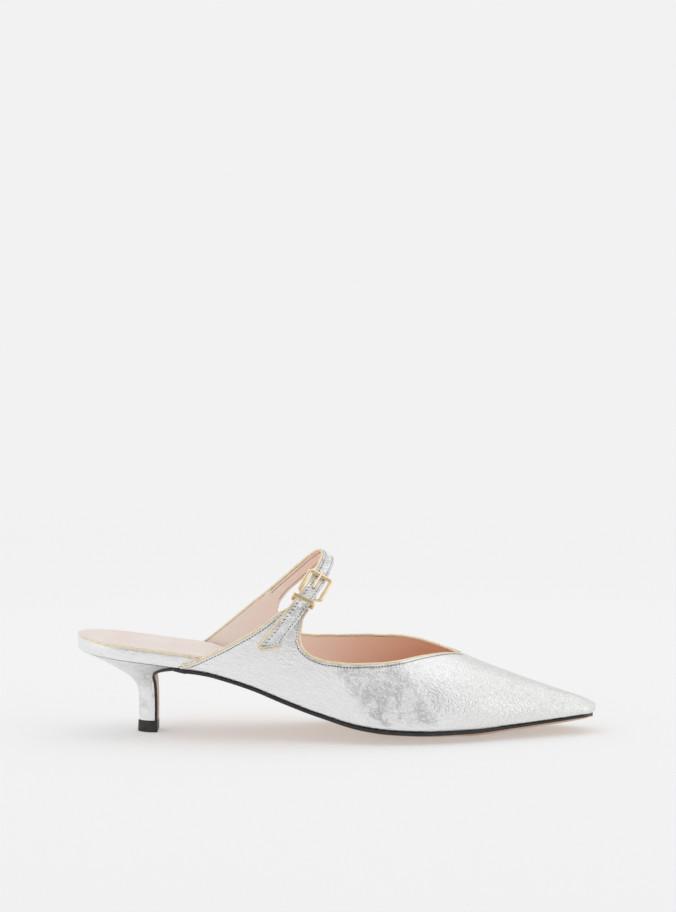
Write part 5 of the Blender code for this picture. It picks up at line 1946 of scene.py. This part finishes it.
@dataclass
class Studio:
    """Pale floor, soft light and the camera of the photograph."""

    camera_at: tuple[float, float, float] = (0.0989, -1.1374, 0.2150)
    pitch_deg: float = 3.636
    lens: float = 87.3
    pale: float = 0.887
    dim: float = 0.26
    floor_glow: float = 0.36
    turn_deg: float = 8.0

    def floor(self) -> bpy.types.Object:
        """Wide pale floor that runs out to the background's own shade."""
        shape = bmesh.new()
        bmesh.ops.create_circle(shape, cap_ends=True, segments=96, radius=13.0)
        mesh = bpy.data.meshes.new("floor")
        shape.to_mesh(mesh)
        shape.free()
        floor = put("floor", mesh)
        n = Nodes("floor_paper")
        reach = n.add("ShaderNodeVectorMath", {0: n.place}, operation="LENGTH").outputs["Value"]
        glow = n.add("ShaderNodeEmission", {"Color": (self.pale, self.pale, self.pale, 1.0), "Strength": 1.0})
        n.finish(Base_Color=(0.95, 0.95, 0.95), Roughness=0.95, Specular_IOR_Level=0.0)
        mix = n.add("ShaderNodeMixShader", {0: n.span(reach, 0.25, 1.4, self.floor_glow, 1.0)})
        n.tree.links.new(n.shader.outputs[0], mix.inputs[1])
        n.tree.links.new(glow.outputs[0], mix.inputs[2])
        n.tree.links.new(mix.outputs[0], n.tree.nodes["Material Output"].inputs["Surface"])
        mesh.materials.append(n.material)
        return floor

    def lights(self) -> None:
        """Soft boxes round the shoe and a pale surround."""
        for name, place, size, power, turn in (
            ("top_box", (0.1, 0.45, 1.5), 1.6, 4.6, (math.radians(-16), 0, 0)),
            ("left_box", (-1.3, -0.5, 0.7), 1.1, 1.2, (math.radians(65), 0, math.radians(-70))),
            ("right_box", (1.5, -0.4, 0.8), 1.1, 1.6, (math.radians(65), 0, math.radians(75))),
        ):
            lamp = bpy.data.lights.new(name, "AREA")
            lamp.shape = "SQUARE"
            lamp.size = size
            lamp.energy = power
            thing = put(name, lamp)
            thing.location = place
            thing.rotation_euler = turn

    def surround(self) -> None:
        """Pale surround with a dim stretch in front of and behind the shoe, above the horizon."""
        world = bpy.data.worlds.new("surround")
        world.use_nodes = True
        n = Graph(world.node_tree)
        way = n.add("ShaderNodeTexCoord").outputs["Generated"]
        x, y, z = n.add("ShaderNodeSeparateXYZ", {0: way}).outputs
        around = n.maths("SQRT", n.maths("ADD", n.maths("MULTIPLY", x, x), n.maths("MULTIPLY", y, y)))
        turn = math.radians(self.turn_deg)
        sideways, forwards = n.maths("MULTIPLY", x, math.sin(turn)), n.maths("MULTIPLY", y, math.cos(turn))
        facing = n.maths("DIVIDE", n.maths("SUBTRACT", sideways, forwards), n.maths("MAXIMUM", around, 0.001))
        front = n.span(facing, 0.80, 0.97)
        back = n.maths("MULTIPLY", n.span(n.maths("MULTIPLY", facing, -1.0), 0.80, 0.97), 0.6)
        low, high = n.span(z, 0.20, 0.36), n.span(z, 0.99, 0.86)
        share = n.maths("MULTIPLY", n.maths("MULTIPLY", low, high), n.maths("ADD", front, back))
        shade = n.maths("SUBTRACT", self.pale, n.maths("MULTIPLY", share, self.pale - self.dim))
        n.tree.links.new(shade, n.tree.nodes["Background"].inputs["Color"])
        bpy.context.scene.world = world

    def camera(self) -> None:
        """The photograph's view."""
        lens = bpy.data.cameras.new("camera")
        lens.lens = self.lens
        lens.sensor_width = 36.0
        lens.sensor_fit = "AUTO"
        lens.clip_start = 0.01
        lens.clip_end = 60.0
        thing = put("camera", lens)
        thing.location = self.camera_at
        thing.rotation_euler = (math.radians(90 - self.pitch_deg), 0, 0)
        bpy.context.scene.camera = thing

    def set_up(self) -> None:
        """Floor, lights, camera and plain colour handling."""
        self.floor()
        self.lights()
        self.surround()
        self.camera()
        bpy.context.scene.view_settings.view_transform = "Standard"


def main() -> None:
    """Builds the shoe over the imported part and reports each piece."""
    logging.basicConfig(level=logging.INFO, format="%(name)s: %(message)s")
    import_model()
    Studio().set_up()
    coats = Finishes()
    last, pattern = Last(), Pattern()
    lane = Lane(last, pattern)
    upper = Upper(last, pattern, lane)
    settle(upper.build(coats), "upper_leather", "upper")
    settle(Strap(last, pattern, lane).build(coats), "upper_leather", "strap")
    bottom, heel = Bottom(last), HeelBlock(last)
    settle(bottom.insole(coats), "upper_leather", "insole_board")
    settle(bottom.sock(coats), "lining_leather", "sock")
    settle(bottom.outsole(coats, heel), "sole_leather", "outsole")
    settle(heel.block(coats), "upper_leather", "heel")
    settle(heel.top_piece(coats), "heel_tip", "heel_tip")
    buckle = Buckle(lane)
    settle(buckle.frame(coats), "buckle_metal", "buckle_frame")
    settle(buckle.prong(coats), "buckle_metal", "buckle_prong")
    settle(buckle.keeper(coats), "buckle_metal", "keeper")
    trim = Trim(last, pattern, lane, upper)
    for piece, node in trim.bindings(coats):
        settle(piece, "piping_leather", node)
    settle(trim.seat_bead(coats), "")
    for piece in trim.stitches(coats):
        settle(piece, "")


if __name__ == "__main__":
    main()
